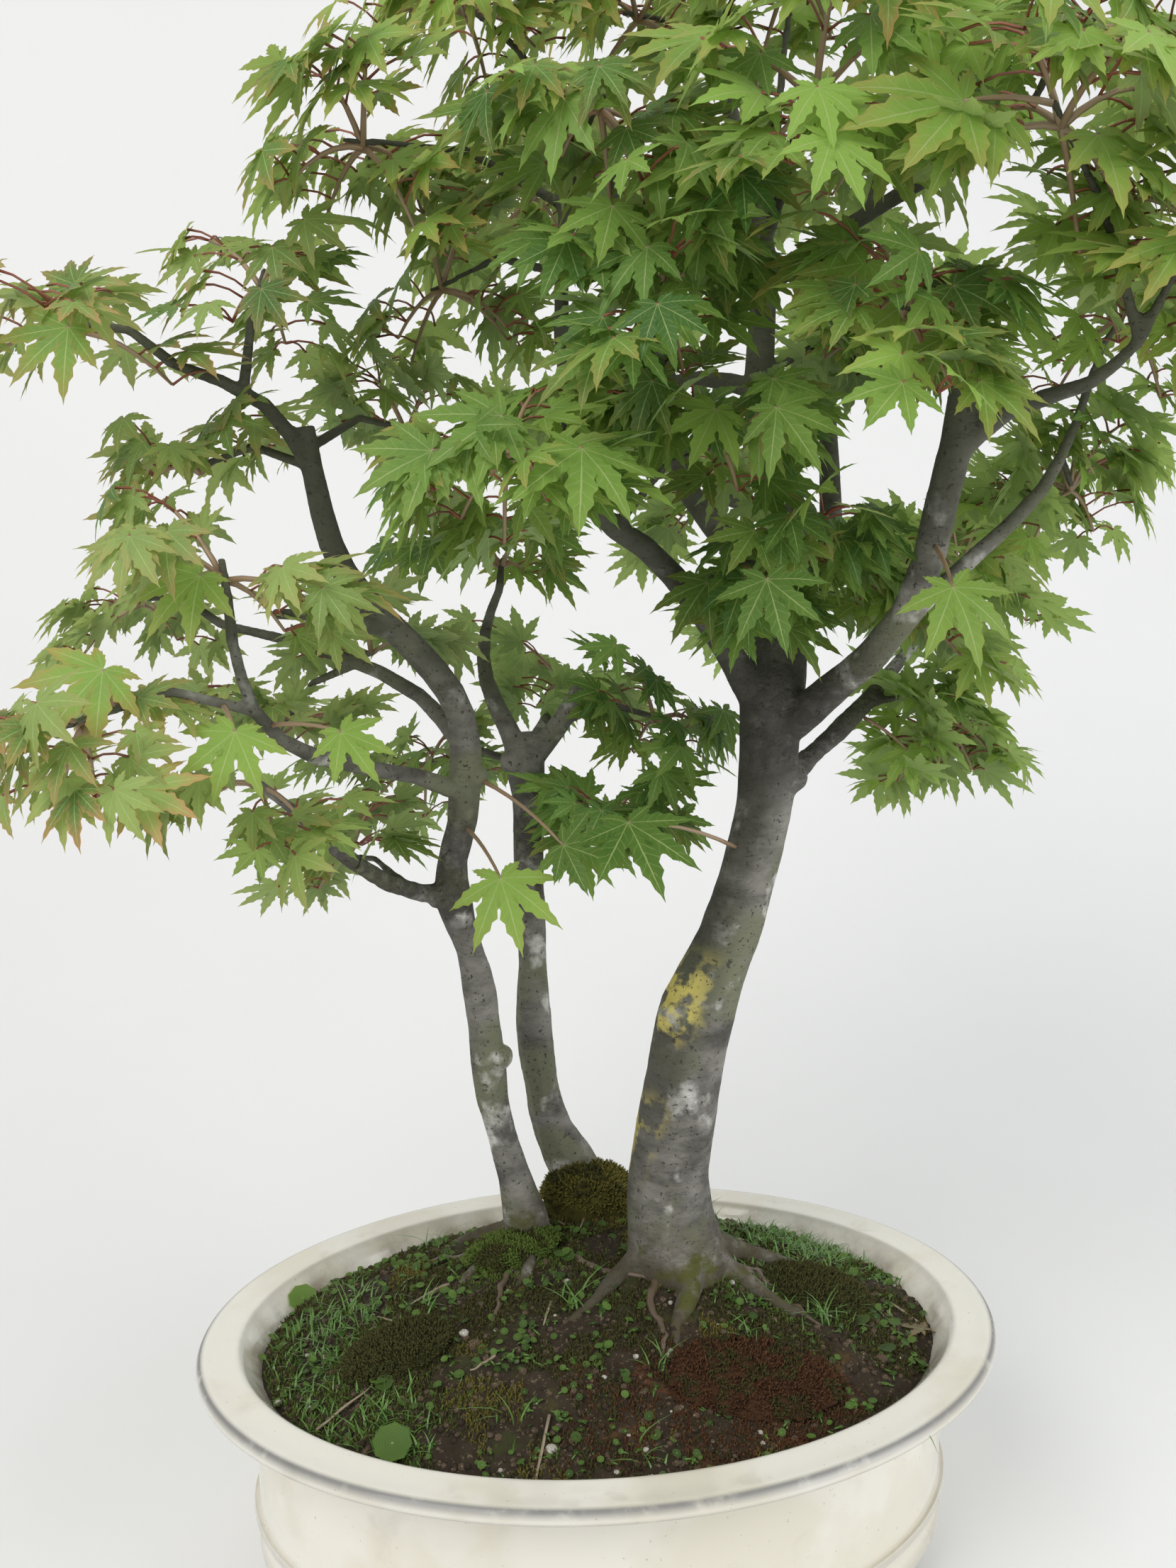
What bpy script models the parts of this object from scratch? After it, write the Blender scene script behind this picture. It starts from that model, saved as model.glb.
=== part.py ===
"""A clump of three Japanese maples grown as a bonsai in an oval glazed pot.

Metres, +Z up. The origin is on the surface the pot stands on, under the middle of the pot.
+X runs along the pot's length and the front of the tree faces -Y.
"""

import math

import bmesh
import bpy
from mathutils import Matrix, Vector, noise

# Driving dimensions
GAP = 0.0003  # clearance between two pieces that touch
POT_HALF_LENGTH = 0.235
POT_HALF_WIDTH = 0.1805
POT_HEIGHT = 0.150
FOOT_HEIGHT = 0.012
FLOOR_TOP = 0.021
SIDES = 48  # facets round the oval

# The pot's section, as (height, distance inside the rim's outer edge)
POT_INSIDE = [
    (FLOOR_TOP, 0.060),
    (0.027, 0.047),
    (0.060, 0.0405),
    (0.124, 0.0390),
    (0.138, 0.0335),
    (0.146, 0.0275),
]
POT_RIM = [
    (0.1492, 0.0245),
    (POT_HEIGHT, 0.0215),
    (POT_HEIGHT, 0.0035),
    (0.1485, 0.0010),
    (0.1455, 0.0000),
    (0.1425, 0.0010),
    (0.1405, 0.0060),
]
POT_OUTSIDE = [
    (0.1380, 0.0240),
    (0.1320, 0.0300),
    (0.0640, 0.0315),
    (0.0610, 0.0290),
    (0.0560, 0.0290),
    (0.0530, 0.0325),
    (0.0430, 0.0335),
    (0.0400, 0.0315),
    (0.0350, 0.0320),
    (0.0320, 0.0360),
    (0.0200, 0.0410),
    (FOOT_HEIGHT, 0.0500),
]

DRAIN_RADIUS = 0.014
DRAIN_X = 0.080
SCREEN_HALF = 0.019
SCREEN_THICKNESS = 0.0012
SCREEN_CELLS = 4
SCREEN_BAR = 0.0018
CLIP_RADIUS = 0.0007
CLIP_LEG_X = 0.0070
CLIP_BEND_X = 0.0015
CLIP_BEND_Z = 0.002
CLIP_TAIL = 0.014
DRAIN_SIDES = 24

# Feet, as the angle round the oval at which each one stands
FOOT_ANGLES = [42, 138, 222, 318]
FOOT_INSET = 0.072
FOOT_LENGTH = 0.058
FOOT_DEPTH = 0.024
FOOT_JOIN = 0.004  # how far a foot reaches into the pot's floor
FOOT_BEVEL = 0.0015
DRAIN_OVERRUN = 0.010  # how far the drill runs past the floor on each side

SOIL_EDGE = 0.1355
SOIL_RISE = 0.044
MOUND_POWER = 2.2  # a higher power makes a flatter mound with a steeper edge
MOUND_INSET = 0.0345
SOIL_TOP_INSET = 0.0352
SOIL_SIDE = [(FLOOR_TOP + GAP, 0.0606), (0.027, 0.0476), (0.060, 0.0411), (0.124, 0.0396)]
FOOT_RISE = {"main": 0.006, "middle": 0.012, "left": 0.006}  # extra height at each trunk
FOOT_SPREAD = 0.04
RIPPLE_SCALE = 28
RIPPLE_SEED = 3.7
RIPPLE_HEIGHT = 0.0022
RIPPLE_FADE = 8  # a power that stills the ripple at the soil's edge
SOIL_TOP_RINGS = [1.0, 0.93, 0.82, 0.68, 0.50, 0.30, 0.10]

# Trunks, from under the soil to the tip, as (x, y, z, radius)
TRUNKS = {
    "main": [
        (0.044, -0.006, 0.150, 0.0360),
        (0.045, -0.010, 0.186, 0.0310),
        (0.042, -0.010, 0.210, 0.0262),
        (0.041, -0.010, 0.236, 0.0240),
        (0.046, -0.012, 0.270, 0.0230),
        (0.050, -0.018, 0.303, 0.0222),
        (0.058, -0.020, 0.338, 0.0220),
        (0.074, -0.020, 0.375, 0.0178),
        (0.088, -0.020, 0.415, 0.0168),
        (0.097, -0.020, 0.452, 0.0168),
        (0.101, -0.020, 0.493, 0.0174),
        (0.104, -0.018, 0.525, 0.0190),
        (0.113, -0.008, 0.556, 0.0152),
        (0.121, 0.000, 0.585, 0.0125),
        (0.117, 0.008, 0.640, 0.0105),
        (0.104, 0.012, 0.700, 0.0090),
        (0.108, 0.010, 0.765, 0.0074),
        (0.092, 0.006, 0.830, 0.0055),
        (0.076, 0.005, 0.885, 0.0040),
        (0.070, 0.008, 0.930, 0.0028),
    ],
    "middle": [
        (0.004, 0.085, 0.150, 0.0230),
        (0.000, 0.085, 0.188, 0.0185),
        (-0.020, 0.085, 0.230, 0.0138),
        (-0.028, 0.085, 0.264, 0.0116),
        (-0.032, 0.085, 0.305, 0.0114),
        (-0.031, 0.085, 0.358, 0.0098),
        (-0.032, 0.085, 0.410, 0.0095),
        (-0.032, 0.085, 0.455, 0.0108),
        (-0.034, 0.086, 0.479, 0.0138),
        (-0.036, 0.088, 0.494, 0.0090),
    ],
    "left": [
        (-0.036, 0.032, 0.155, 0.0175),
        (-0.042, 0.030, 0.192, 0.0145),
        (-0.049, 0.030, 0.223, 0.0104),
        (-0.056, 0.030, 0.250, 0.0092),
        (-0.064, 0.025, 0.300, 0.0108),
        (-0.067, 0.020, 0.340, 0.0104),
        (-0.073, 0.018, 0.370, 0.0084),
        (-0.081, 0.010, 0.400, 0.0108),
        (-0.081, 0.008, 0.424, 0.0088),
        (-0.075, 0.000, 0.448, 0.0092),
        (-0.073, -0.002, 0.470, 0.0106),
        (-0.074, -0.010, 0.508, 0.0086),
        (-0.088, -0.020, 0.534, 0.0082),
        (-0.110, -0.026, 0.558, 0.0078),
        (-0.134, -0.032, 0.587, 0.0073),
        (-0.144, -0.040, 0.618, 0.0066),
        (-0.150, -0.050, 0.660, 0.0054),
    ],
}

# Limbs of each tree; the first point lies inside the wood that the limb grows from
LIMBS = {
    "main": [
        [  # the long limb that crosses to the left and turns up
            (0.099, -0.018, 0.508, 0.0110),
            (0.079, -0.030, 0.535, 0.0086),
            (0.054, -0.050, 0.566, 0.0076),
            (0.021, -0.080, 0.594, 0.0064),
            (-0.010, -0.100, 0.614, 0.0056),
            (-0.019, -0.100, 0.662, 0.0048),
            (-0.021, -0.100, 0.722, 0.0040),
            (-0.014, -0.095, 0.785, 0.0030),
        ],
        [  # the limb behind it
            (0.113, -0.008, 0.560, 0.0098),
            (0.094, 0.002, 0.594, 0.0084),
            (0.062, 0.018, 0.638, 0.0074),
            (0.052, 0.020, 0.700, 0.0064),
            (0.037, 0.020, 0.740, 0.0054),
            (0.025, 0.020, 0.790, 0.0042),
            (0.022, 0.030, 0.835, 0.0030),
        ],
        [  # the limb from the fork to the back right
            (0.120, 0.000, 0.572, 0.0098),
            (0.152, 0.036, 0.598, 0.0084),
            (0.162, 0.060, 0.641, 0.0074),
            (0.166, 0.078, 0.690, 0.0062),
            (0.178, 0.110, 0.735, 0.0046),
            (0.200, 0.145, 0.765, 0.0032),
        ],
        [  # the heavy limb towards the front right, sawn off at its end
            (0.103, -0.020, 0.492, 0.0112),
            (0.128, -0.050, 0.520, 0.0096),
            (0.152, -0.098, 0.558, 0.0086),
            (0.157, -0.130, 0.609, 0.0084),
            (0.161, -0.150, 0.662, 0.0080),
            (0.159, -0.158, 0.688, 0.0078),
        ],
        [  # its fork
            (0.159, -0.136, 0.628, 0.0060),
            (0.176, -0.160, 0.646, 0.0050),
            (0.196, -0.195, 0.650, 0.0040),
            (0.206, -0.215, 0.662, 0.0030),
        ],
        [  # its lower side limb
            (0.152, -0.098, 0.556, 0.0060),
            (0.190, -0.096, 0.588, 0.0050),
            (0.228, -0.090, 0.622, 0.0042),
            (0.250, -0.080, 0.656, 0.0032),
        ],
        [  # the low limb to the back right
            (0.099, -0.014, 0.456, 0.0086),
            (0.138, 0.018, 0.480, 0.0070),
            (0.180, 0.050, 0.508, 0.0060),
            (0.216, 0.080, 0.537, 0.0050),
            (0.245, 0.100, 0.562, 0.0036),
        ],
        [  # back limb
            (0.118, 0.004, 0.612, 0.0090),
            (0.116, 0.060, 0.632, 0.0074),
            (0.118, 0.125, 0.646, 0.0058),
            (0.120, 0.175, 0.654, 0.0040),
        ],
        [  # upper back limb
            (0.104, 0.012, 0.694, 0.0070),
            (0.080, 0.060, 0.712, 0.0056),
            (0.048, 0.120, 0.716, 0.0044),
            (0.024, 0.160, 0.708, 0.0032),
        ],
        [  # upper right limb
            (0.108, 0.010, 0.752, 0.0066),
            (0.148, -0.010, 0.778, 0.0054),
            (0.180, -0.070, 0.786, 0.0044),
            (0.192, -0.140, 0.782, 0.0032),
        ],
        [  # upper front limb
            (0.106, 0.010, 0.736, 0.0060),
            (0.088, -0.050, 0.742, 0.0050),
            (0.076, -0.120, 0.738, 0.0042),
            (0.068, -0.170, 0.734, 0.0030),
        ],
        [  # back top limb
            (0.098, 0.008, 0.808, 0.0054),
            (0.104, 0.070, 0.820, 0.0044),
            (0.112, 0.140, 0.822, 0.0034),
        ],
    ],
    "middle": [
        [  # the left fork
            (-0.036, 0.087, 0.476, 0.0080),
            (-0.043, 0.090, 0.496, 0.0070),
            (-0.056, 0.108, 0.528, 0.0056),
            (-0.056, 0.116, 0.560, 0.0042),
            (-0.046, 0.112, 0.588, 0.0030),
        ],
        [  # the right fork, sawn off
            (-0.032, 0.085, 0.474, 0.0086),
            (-0.011, 0.076, 0.500, 0.0068),
            (0.003, 0.070, 0.522, 0.0062),
        ],
        [  # the thin limb behind
            (-0.033, 0.088, 0.466, 0.0060),
            (-0.024, 0.130, 0.488, 0.0046),
            (-0.006, 0.180, 0.508, 0.0032),
        ],
    ],
    "left": [
        [  # the lowest limb, to the left
            (-0.080, 0.010, 0.404, 0.0064),
            (-0.100, 0.000, 0.407, 0.0054),
            (-0.134, -0.040, 0.432, 0.0045),
            (-0.160, -0.062, 0.462, 0.0036),
            (-0.174, -0.084, 0.478, 0.0028),
        ],
        [  # the middle limb, to the front left
            (-0.074, -0.002, 0.464, 0.0064),
            (-0.100, -0.030, 0.477, 0.0052),
            (-0.148, -0.080, 0.492, 0.0045),
            (-0.170, -0.120, 0.516, 0.0036),
            (-0.176, -0.136, 0.548, 0.0028),
        ],
        [  # the upper limb, to the left
            (-0.106, -0.024, 0.554, 0.0052),
            (-0.136, -0.052, 0.562, 0.0042),
            (-0.162, -0.098, 0.562, 0.0030),
        ],
        [  # the back limb
            (-0.074, -0.006, 0.492, 0.0060),
            (-0.098, 0.030, 0.520, 0.0050),
            (-0.150, 0.062, 0.546, 0.0042),
            (-0.220, 0.080, 0.566, 0.0030),
        ],
        [  # the top fork
            (-0.148, -0.046, 0.640, 0.0050),
            (-0.168, -0.062, 0.668, 0.0040),
            (-0.205, -0.092, 0.680, 0.0028),
        ],
    ],
}

# Surface roots, as (x, y, radius) along the mound; the last point dives under the soil
ROOTS = {
    "main": [
        [(0.050, -0.014, 0.0190), (0.077, -0.024, 0.0072), (0.098, -0.044, 0.0046), (0.128, -0.052, 0.0036)],
        [(0.044, -0.018, 0.019), (0.046, -0.046, 0.0070), (0.034, -0.066, 0.0044), (0.030, -0.094, 0.0034)],
        [(0.038, -0.012, 0.018), (0.010, -0.022, 0.0066), (-0.008, -0.044, 0.0044), (-0.036, -0.056, 0.0034)],
        [(0.050, -0.004, 0.0180), (0.064, 0.034, 0.0080), (0.080, 0.068, 0.0050), (0.104, 0.092, 0.0036)],
        [(0.052, -0.010, 0.0190), (0.086, 0.006, 0.0080), (0.118, 0.004, 0.0050), (0.150, 0.020, 0.0036)],
    ],
    "middle": [
        [(0.000, 0.084, 0.0120), (0.024, 0.062, 0.0062), (0.044, 0.040, 0.0038)],
        [(-0.002, 0.088, 0.0120), (-0.026, 0.108, 0.0056), (-0.050, 0.122, 0.0036)],
    ],
    "left": [
        [(-0.044, 0.028, 0.0100), (-0.070, 0.010, 0.0050), (-0.096, -0.012, 0.0034)],
        [(-0.040, 0.026, 0.0100), (-0.042, -0.002, 0.0046), (-0.056, -0.024, 0.0034)],
        [(-0.044, 0.034, 0.0100), (-0.072, 0.060, 0.0050), (-0.104, 0.078, 0.0034)],
    ],
}
ROOT_SHOWING = 0.20  # how much of its radius a root's axis stands above the soil
ROOT_DIVE = 0.010

# Healed cuts that swell out of the trunks, as (x, y, z, radius)
BURLS = {
    "main": [(0.044, -0.030, 0.334, 0.0130), (0.112, -0.026, 0.470, 0.0095), (0.030, -0.018, 0.262, 0.0100)],
    "middle": [(-0.041, 0.080, 0.476, 0.0095), (-0.026, 0.078, 0.452, 0.0080)],
    "left": [(-0.056, 0.020, 0.302, 0.0075), (-0.090, 0.004, 0.404, 0.0072), (-0.066, -0.008, 0.474, 0.0072)],
}

# Facets round a tube: 4 and twice this step
TRUNK_STEP = {"main": 4, "middle": 2, "left": 2}
THICK_LIMB = 0.0085  # a limb that starts thicker than this gets more facets
TWIG_START = 0.0032
TWIG_END = 0.0020
TWIG_ARCH = 0.012
TWIG_OVERRUN = 0.010  # how far a twig runs past the middle of its cluster
TWIG_DROP_COST = 1.5  # how much a start above the cluster counts against it
CLUSTER_FACETS = (9, 5)
CLUSTER_LUMP = 0.14
LUMP_SCALE = 1.6
LUMP_STEP = (3.1, 1.7)  # moves the noise on for each seed

# Leaf clusters of each tree, as name: (centre, half sizes)
CLUSTERS = {
    "main": {
        "front_left": ((-0.052, -0.155, 0.622), (0.050, 0.055, 0.030)),
        "far_left": ((-0.112, -0.120, 0.770), (0.056, 0.066, 0.028)),
        "left_wing": ((-0.078, -0.030, 0.735), (0.052, 0.060, 0.028)),
        "left_crown": ((-0.062, -0.070, 0.856), (0.062, 0.068, 0.030)),
        "front_upper": ((-0.010, -0.175, 0.765), (0.048, 0.052, 0.030)),
        "front_middle": ((0.014, -0.172, 0.692), (0.048, 0.052, 0.026)),
        "front_lower": ((0.050, -0.130, 0.634), (0.044, 0.044, 0.022)),
        "front_right": ((0.070, -0.215, 0.752), (0.044, 0.050, 0.026)),
        "front_tip": ((0.108, -0.212, 0.672), (0.038, 0.048, 0.026)),
        "low_front": ((0.092, -0.098, 0.578), (0.036, 0.042, 0.018)),
        "right_near": ((0.150, -0.256, 0.728), (0.046, 0.056, 0.024)),
        "right_far_near": ((0.216, -0.246, 0.690), (0.048, 0.056, 0.026)),
        "right_crown": ((0.200, -0.180, 0.800), (0.060, 0.066, 0.028)),
        "crown_front": ((0.086, -0.130, 0.850), (0.062, 0.064, 0.030)),
        "crown_left": ((0.030, -0.020, 0.880), (0.060, 0.064, 0.030)),
        "right_shelf": ((0.262, -0.110, 0.705), (0.064, 0.066, 0.030)),
        "right_low": ((0.282, -0.016, 0.632), (0.058, 0.066, 0.028)),
        "right_skirt": ((0.272, 0.118, 0.592), (0.064, 0.066, 0.030)),
        "right_hang": ((0.186, -0.030, 0.556), (0.046, 0.046, 0.022)),
        "tassel": ((0.236, 0.060, 0.495), (0.046, 0.046, 0.028)),
        "back_left": ((0.000, 0.180, 0.706), (0.068, 0.066, 0.032)),
        "back_middle": ((0.120, 0.206, 0.660), (0.066, 0.064, 0.030)),
        "back_right": ((0.226, 0.176, 0.775), (0.070, 0.068, 0.032)),
        "back_high": ((0.110, 0.180, 0.830), (0.068, 0.068, 0.032)),
        "back_low": ((0.170, 0.240, 0.588), (0.066, 0.064, 0.028)),
        "back_crown": ((-0.020, 0.090, 0.830), (0.066, 0.064, 0.030)),
        "right_top": ((0.190, 0.010, 0.845), (0.066, 0.070, 0.030)),
        "apex": ((0.080, 0.010, 0.948), (0.076, 0.074, 0.032)),
        "inner": ((0.170, -0.020, 0.712), (0.050, 0.056, 0.026)),
    },
    "middle": {
        "top": ((-0.044, 0.118, 0.602), (0.066, 0.062, 0.028)),
        "right": ((0.050, 0.078, 0.500), (0.050, 0.052, 0.026)),
        "left": ((-0.098, 0.140, 0.470), (0.054, 0.050, 0.026)),
        "back": ((0.006, 0.205, 0.524), (0.070, 0.058, 0.028)),
        "skirt": ((0.016, 0.046, 0.434), (0.046, 0.044, 0.022)),
    },
    "left": {
        "top_tip": ((-0.240, -0.110, 0.690), (0.054, 0.056, 0.022)),
        "top": ((-0.166, -0.070, 0.722), (0.052, 0.062, 0.024)),
        "shoulder": ((-0.208, -0.030, 0.640), (0.056, 0.056, 0.022)),
        "inner": ((-0.100, 0.010, 0.668), (0.046, 0.052, 0.024)),
        "shelf": ((-0.178, -0.138, 0.575), (0.062, 0.060, 0.024)),
        "low_tip": ((-0.236, -0.160, 0.512), (0.038, 0.050, 0.022)),
        "low": ((-0.176, -0.088, 0.478), (0.048, 0.050, 0.022)),
        "hem": ((-0.142, 0.016, 0.424), (0.050, 0.050, 0.020)),
        "heart": ((-0.128, 0.058, 0.545), (0.056, 0.054, 0.024)),
        "back_tip": ((-0.272, 0.100, 0.580), (0.066, 0.066, 0.026)),
        "back_low": ((-0.196, 0.130, 0.494), (0.058, 0.058, 0.024)),
    },
}

# Moss cushions, as name: (x, y, half sizes)
MOSSES = {
    "moss_middle_trunk": (0.004, 0.072, (0.034, 0.028, 0.026)),
    "moss_left_trunk": (-0.052, 0.014, (0.030, 0.020, 0.010)),
    "moss_front": (0.070, -0.098, (0.050, 0.022, 0.007)),
    "moss_right": (0.128, -0.020, (0.034, 0.026, 0.008)),
    "moss_left_edge": (-0.120, -0.050, (0.032, 0.022, 0.008)),
}
MOSS_SUNK = 0.35  # part of a cushion's half height that lies in the soil
MOSS_FACETS = (12, 6)
MOSS_LUMP = 0.04
MOSS_FIRST_SEED = 70
SLOPE_STEP = 0.01

# Colour, roughness and metallic value of each finish
FINISHES = {
    "cream_glaze": ((0.80, 0.76, 0.66), 0.22, 0.0),
    "soil": ((0.09, 0.06, 0.04), 0.95, 0.0),
    "bark": ((0.40, 0.37, 0.31), 0.85, 0.0),
    "leaf": ((0.20, 0.36, 0.08), 0.45, 0.0),
    "moss": ((0.24, 0.26, 0.07), 0.95, 0.0),
    "screen_plastic": ((0.03, 0.03, 0.03), 0.60, 0.0),
    "clip_wire": ((0.72, 0.72, 0.74), 0.35, 1.0),
}


def clear_scene():
    for old in list(bpy.data.objects):
        bpy.data.objects.remove(old, do_unlink=True)


def new_collection(name):
    made = bpy.data.collections.new(name)
    bpy.context.scene.collection.children.link(made)
    return made


def finish(name):
    """One Principled material for each finish, made the first time it is asked for."""
    if name in bpy.data.materials:
        return bpy.data.materials[name]
    colour, roughness, metallic = FINISHES[name]
    material = bpy.data.materials.new(name)
    material.use_nodes = True
    shader = material.node_tree.nodes["Principled BSDF"]
    shader.inputs["Base Color"].default_value = (*colour, 1.0)
    shader.inputs["Roughness"].default_value = roughness
    shader.inputs["Metallic"].default_value = metallic
    material.diffuse_color = (*colour, 1.0)
    return material


def add_object(name, mesh, collection, finish_name):
    made = bpy.data.objects.new(name, mesh)
    mesh.materials.clear()
    mesh.materials.append(finish(finish_name))
    mesh.shade_smooth()
    mesh.set_sharp_from_angle(angle=math.radians(50))
    collection.objects.link(made)
    return made


def as_cutter(obj):
    obj.hide_render = True
    obj.display_type = "WIRE"
    return obj


def add_boolean(obj, other, operation):
    """Joins or cuts obj with one object, or with all the objects of a collection."""
    modifier = obj.modifiers.new(operation.lower(), "BOOLEAN")
    modifier.operation = operation
    modifier.solver = "EXACT"
    if isinstance(other, bpy.types.Collection):
        modifier.operand_type = "COLLECTION"
        modifier.collection = other
    else:
        modifier.object = other


def largest_island(mesh):
    """Removes the crumbs that a cut leaves beside the main body."""
    shell = bmesh.new()
    shell.from_mesh(mesh)
    unseen = set(shell.verts)
    islands = []
    while unseen:
        edge_of_search = [unseen.pop()]
        island = list(edge_of_search)
        while edge_of_search:
            vert = edge_of_search.pop()
            for edge in vert.link_edges:
                other = edge.other_vert(vert)
                if other in unseen:
                    unseen.remove(other)
                    edge_of_search.append(other)
                    island.append(other)
        islands.append(island)
    islands.sort(key=len)
    for island in islands[:-1]:
        bmesh.ops.delete(shell, geom=island, context="VERTS")
    shell.to_mesh(mesh)
    shell.free()


def bake(obj, crumbs=False):
    """Turns the object's modifiers into its mesh."""
    bpy.context.view_layer.update()
    graph = bpy.context.evaluated_depsgraph_get()
    mesh = bpy.data.meshes.new_from_object(obj.evaluated_get(graph))
    if crumbs:
        largest_island(mesh)
    obj.modifiers.clear()
    obj.data = mesh
    mesh.name = obj.name
    return obj


def loft(rings):
    """A closed surface through rings of equal length, with a flat face over each end."""
    shell = bmesh.new()
    loops = [[shell.verts.new(point) for point in ring] for ring in rings]
    count = len(loops[0])
    for lower, upper in zip(loops, loops[1:]):
        for i in range(count):
            j = (i + 1) % count
            shell.faces.new((lower[i], lower[j], upper[j], upper[i]))
    shell.faces.new(reversed(loops[0]))
    shell.faces.new(loops[-1])
    bmesh.ops.recalc_face_normals(shell, faces=shell.faces)
    mesh = bpy.data.meshes.new("loft")
    shell.to_mesh(mesh)
    shell.free()
    return mesh


def oval(height, inset):
    """Points of the oval that lies this far inside the rim's outer edge."""
    length = POT_HALF_LENGTH - inset
    width = POT_HALF_WIDTH - inset
    turns = [2 * math.pi * i / SIDES for i in range(SIDES)]
    return [Vector((length * math.cos(t), width * math.sin(t), height)) for t in turns]


def primitive_box(size, location, turn=0.0, bevel=0.0):
    shell = bmesh.new()
    bmesh.ops.create_cube(shell, size=1.0, matrix=Matrix.Diagonal((*size, 1.0)))
    if bevel:
        bmesh.ops.bevel(
            shell, geom=shell.edges[:], offset=bevel, segments=1, affect="EDGES"
        )
    place = Matrix.Translation(location) @ Matrix.Rotation(turn, 4, "Z")
    bmesh.ops.transform(shell, matrix=place, verts=shell.verts)
    mesh = bpy.data.meshes.new("box")
    shell.to_mesh(mesh)
    shell.free()
    return mesh


def primitive_cylinder(radius, low, high, x, sides=DRAIN_SIDES):
    shell = bmesh.new()
    place = Matrix.Translation((x, 0.0, (low + high) / 2))
    bmesh.ops.create_cone(
        shell, cap_ends=True, segments=sides, radius1=radius, radius2=radius,
        depth=high - low, matrix=place,
    )
    mesh = bpy.data.meshes.new("cylinder")
    shell.to_mesh(mesh)
    shell.free()
    return mesh


def make_pot(parts, cutters):
    """The glazed pot is fired in one piece: wall, belt beads, lip, floor and feet."""
    profile = POT_INSIDE + POT_RIM + POT_OUTSIDE
    pot = add_object("pot", loft([oval(*point) for point in profile]), parts, "cream_glaze")
    for number, angle in enumerate(FOOT_ANGLES):
        around = math.radians(angle)
        length = POT_HALF_LENGTH - FOOT_INSET
        width = POT_HALF_WIDTH - FOOT_INSET
        x = length * math.cos(around)
        y = width * math.sin(around)
        turn = math.atan2(width * math.cos(around), -length * math.sin(around))
        height = FOOT_HEIGHT + FOOT_JOIN
        size = (FOOT_LENGTH, FOOT_DEPTH, height)
        mesh = primitive_box(size, (x, y, height / 2), turn, bevel=FOOT_BEVEL)
        add_boolean(pot, as_cutter(add_object(f"foot_{number}", mesh, cutters, "cream_glaze")), "UNION")
    for side in (-1, 1):
        low, high = FOOT_HEIGHT - DRAIN_OVERRUN, FLOOR_TOP + DRAIN_OVERRUN
        mesh = primitive_cylinder(DRAIN_RADIUS, low, high, side * DRAIN_X)
        add_boolean(pot, as_cutter(add_object(f"drain_{side}", mesh, cutters, "cream_glaze")), "DIFFERENCE")
    return bake(pot)


def make_screen(parts, name, x):
    """A square of plastic mesh that keeps the soil in over a drain hole."""
    pitch = (2 * SCREEN_HALF - SCREEN_BAR) / SCREEN_CELLS
    lines = []
    for cell in range(SCREEN_CELLS + 1):
        start = cell * pitch - SCREEN_HALF
        lines += [start, start + SCREEN_BAR]
    shell = bmesh.new()
    grid = [[shell.verts.new((x + u, v, 0.0)) for u in lines] for v in lines]
    for row in range(len(lines) - 1):
        for column in range(len(lines) - 1):
            if row % 2 and column % 2:
                continue
            near, far = grid[row], grid[row + 1]
            shell.faces.new((near[column], near[column + 1], far[column + 1], far[column]))
    mesh = bpy.data.meshes.new(name)
    shell.to_mesh(mesh)
    shell.free()
    screen = add_object(name, mesh, parts, "screen_plastic")
    screen.location.z = FLOOR_TOP + GAP
    solid = screen.modifiers.new("thickness", "SOLIDIFY")
    solid.thickness = SCREEN_THICKNESS
    solid.offset = 1.0
    return screen


def grown(points, extra):
    """The route of a tube that is larger by the clearance, all round and at its tip."""
    before = Vector(points[-2][:3])
    tip = Vector(points[-1][:3])
    tip += (tip - before).normalized() * extra
    longer = points[:-1] + [(*tip, points[-1][3])]
    return [(x, y, z, radius + extra) for x, y, z, radius in longer]


def drain_recess(x):
    """The hollow in the soil that holds a screen and its clip, and reaches below the soil."""
    top = FLOOR_TOP + 3 * GAP + SCREEN_THICKNESS + 2 * CLIP_RADIUS
    wide = 2 * (SCREEN_HALF + GAP)
    return primitive_box((wide, wide, 2 * (top - FLOOR_TOP)), (x, 0.0, FLOOR_TOP))


def curve_tube(name, points, sides_step, smooth=2):
    """A tapering round tube through (x, y, z, radius) points, as a closed mesh."""
    curve = bpy.data.curves.new(name, "CURVE")
    curve.dimensions = "3D"
    curve.resolution_u = smooth
    curve.bevel_depth = 1.0
    curve.bevel_resolution = sides_step
    curve.use_fill_caps = True
    if smooth > 1:
        spline = curve.splines.new("BEZIER")
        spline.bezier_points.add(len(points) - 1)
        for knot, (x, y, z, radius) in zip(spline.bezier_points, points):
            knot.co = (x, y, z)
            knot.radius = radius
            knot.handle_left_type = "AUTO"
            knot.handle_right_type = "AUTO"
    else:
        spline = curve.splines.new("POLY")
        spline.points.add(len(points) - 1)
        for knot, (x, y, z, radius) in zip(spline.points, points):
            knot.co = (x, y, z, 1.0)
            knot.radius = radius
    guide = bpy.data.objects.new(name, curve)
    bpy.context.scene.collection.objects.link(guide)
    bpy.context.view_layer.update()
    graph = bpy.context.evaluated_depsgraph_get()
    mesh = bpy.data.meshes.new_from_object(guide.evaluated_get(graph))
    bpy.data.objects.remove(guide, do_unlink=True)
    shell = bmesh.new()
    shell.from_mesh(mesh)
    bmesh.ops.remove_doubles(shell, verts=shell.verts, dist=0.00001)
    bmesh.ops.recalc_face_normals(shell, faces=shell.faces)
    shell.to_mesh(mesh)
    shell.free()
    return mesh


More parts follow.
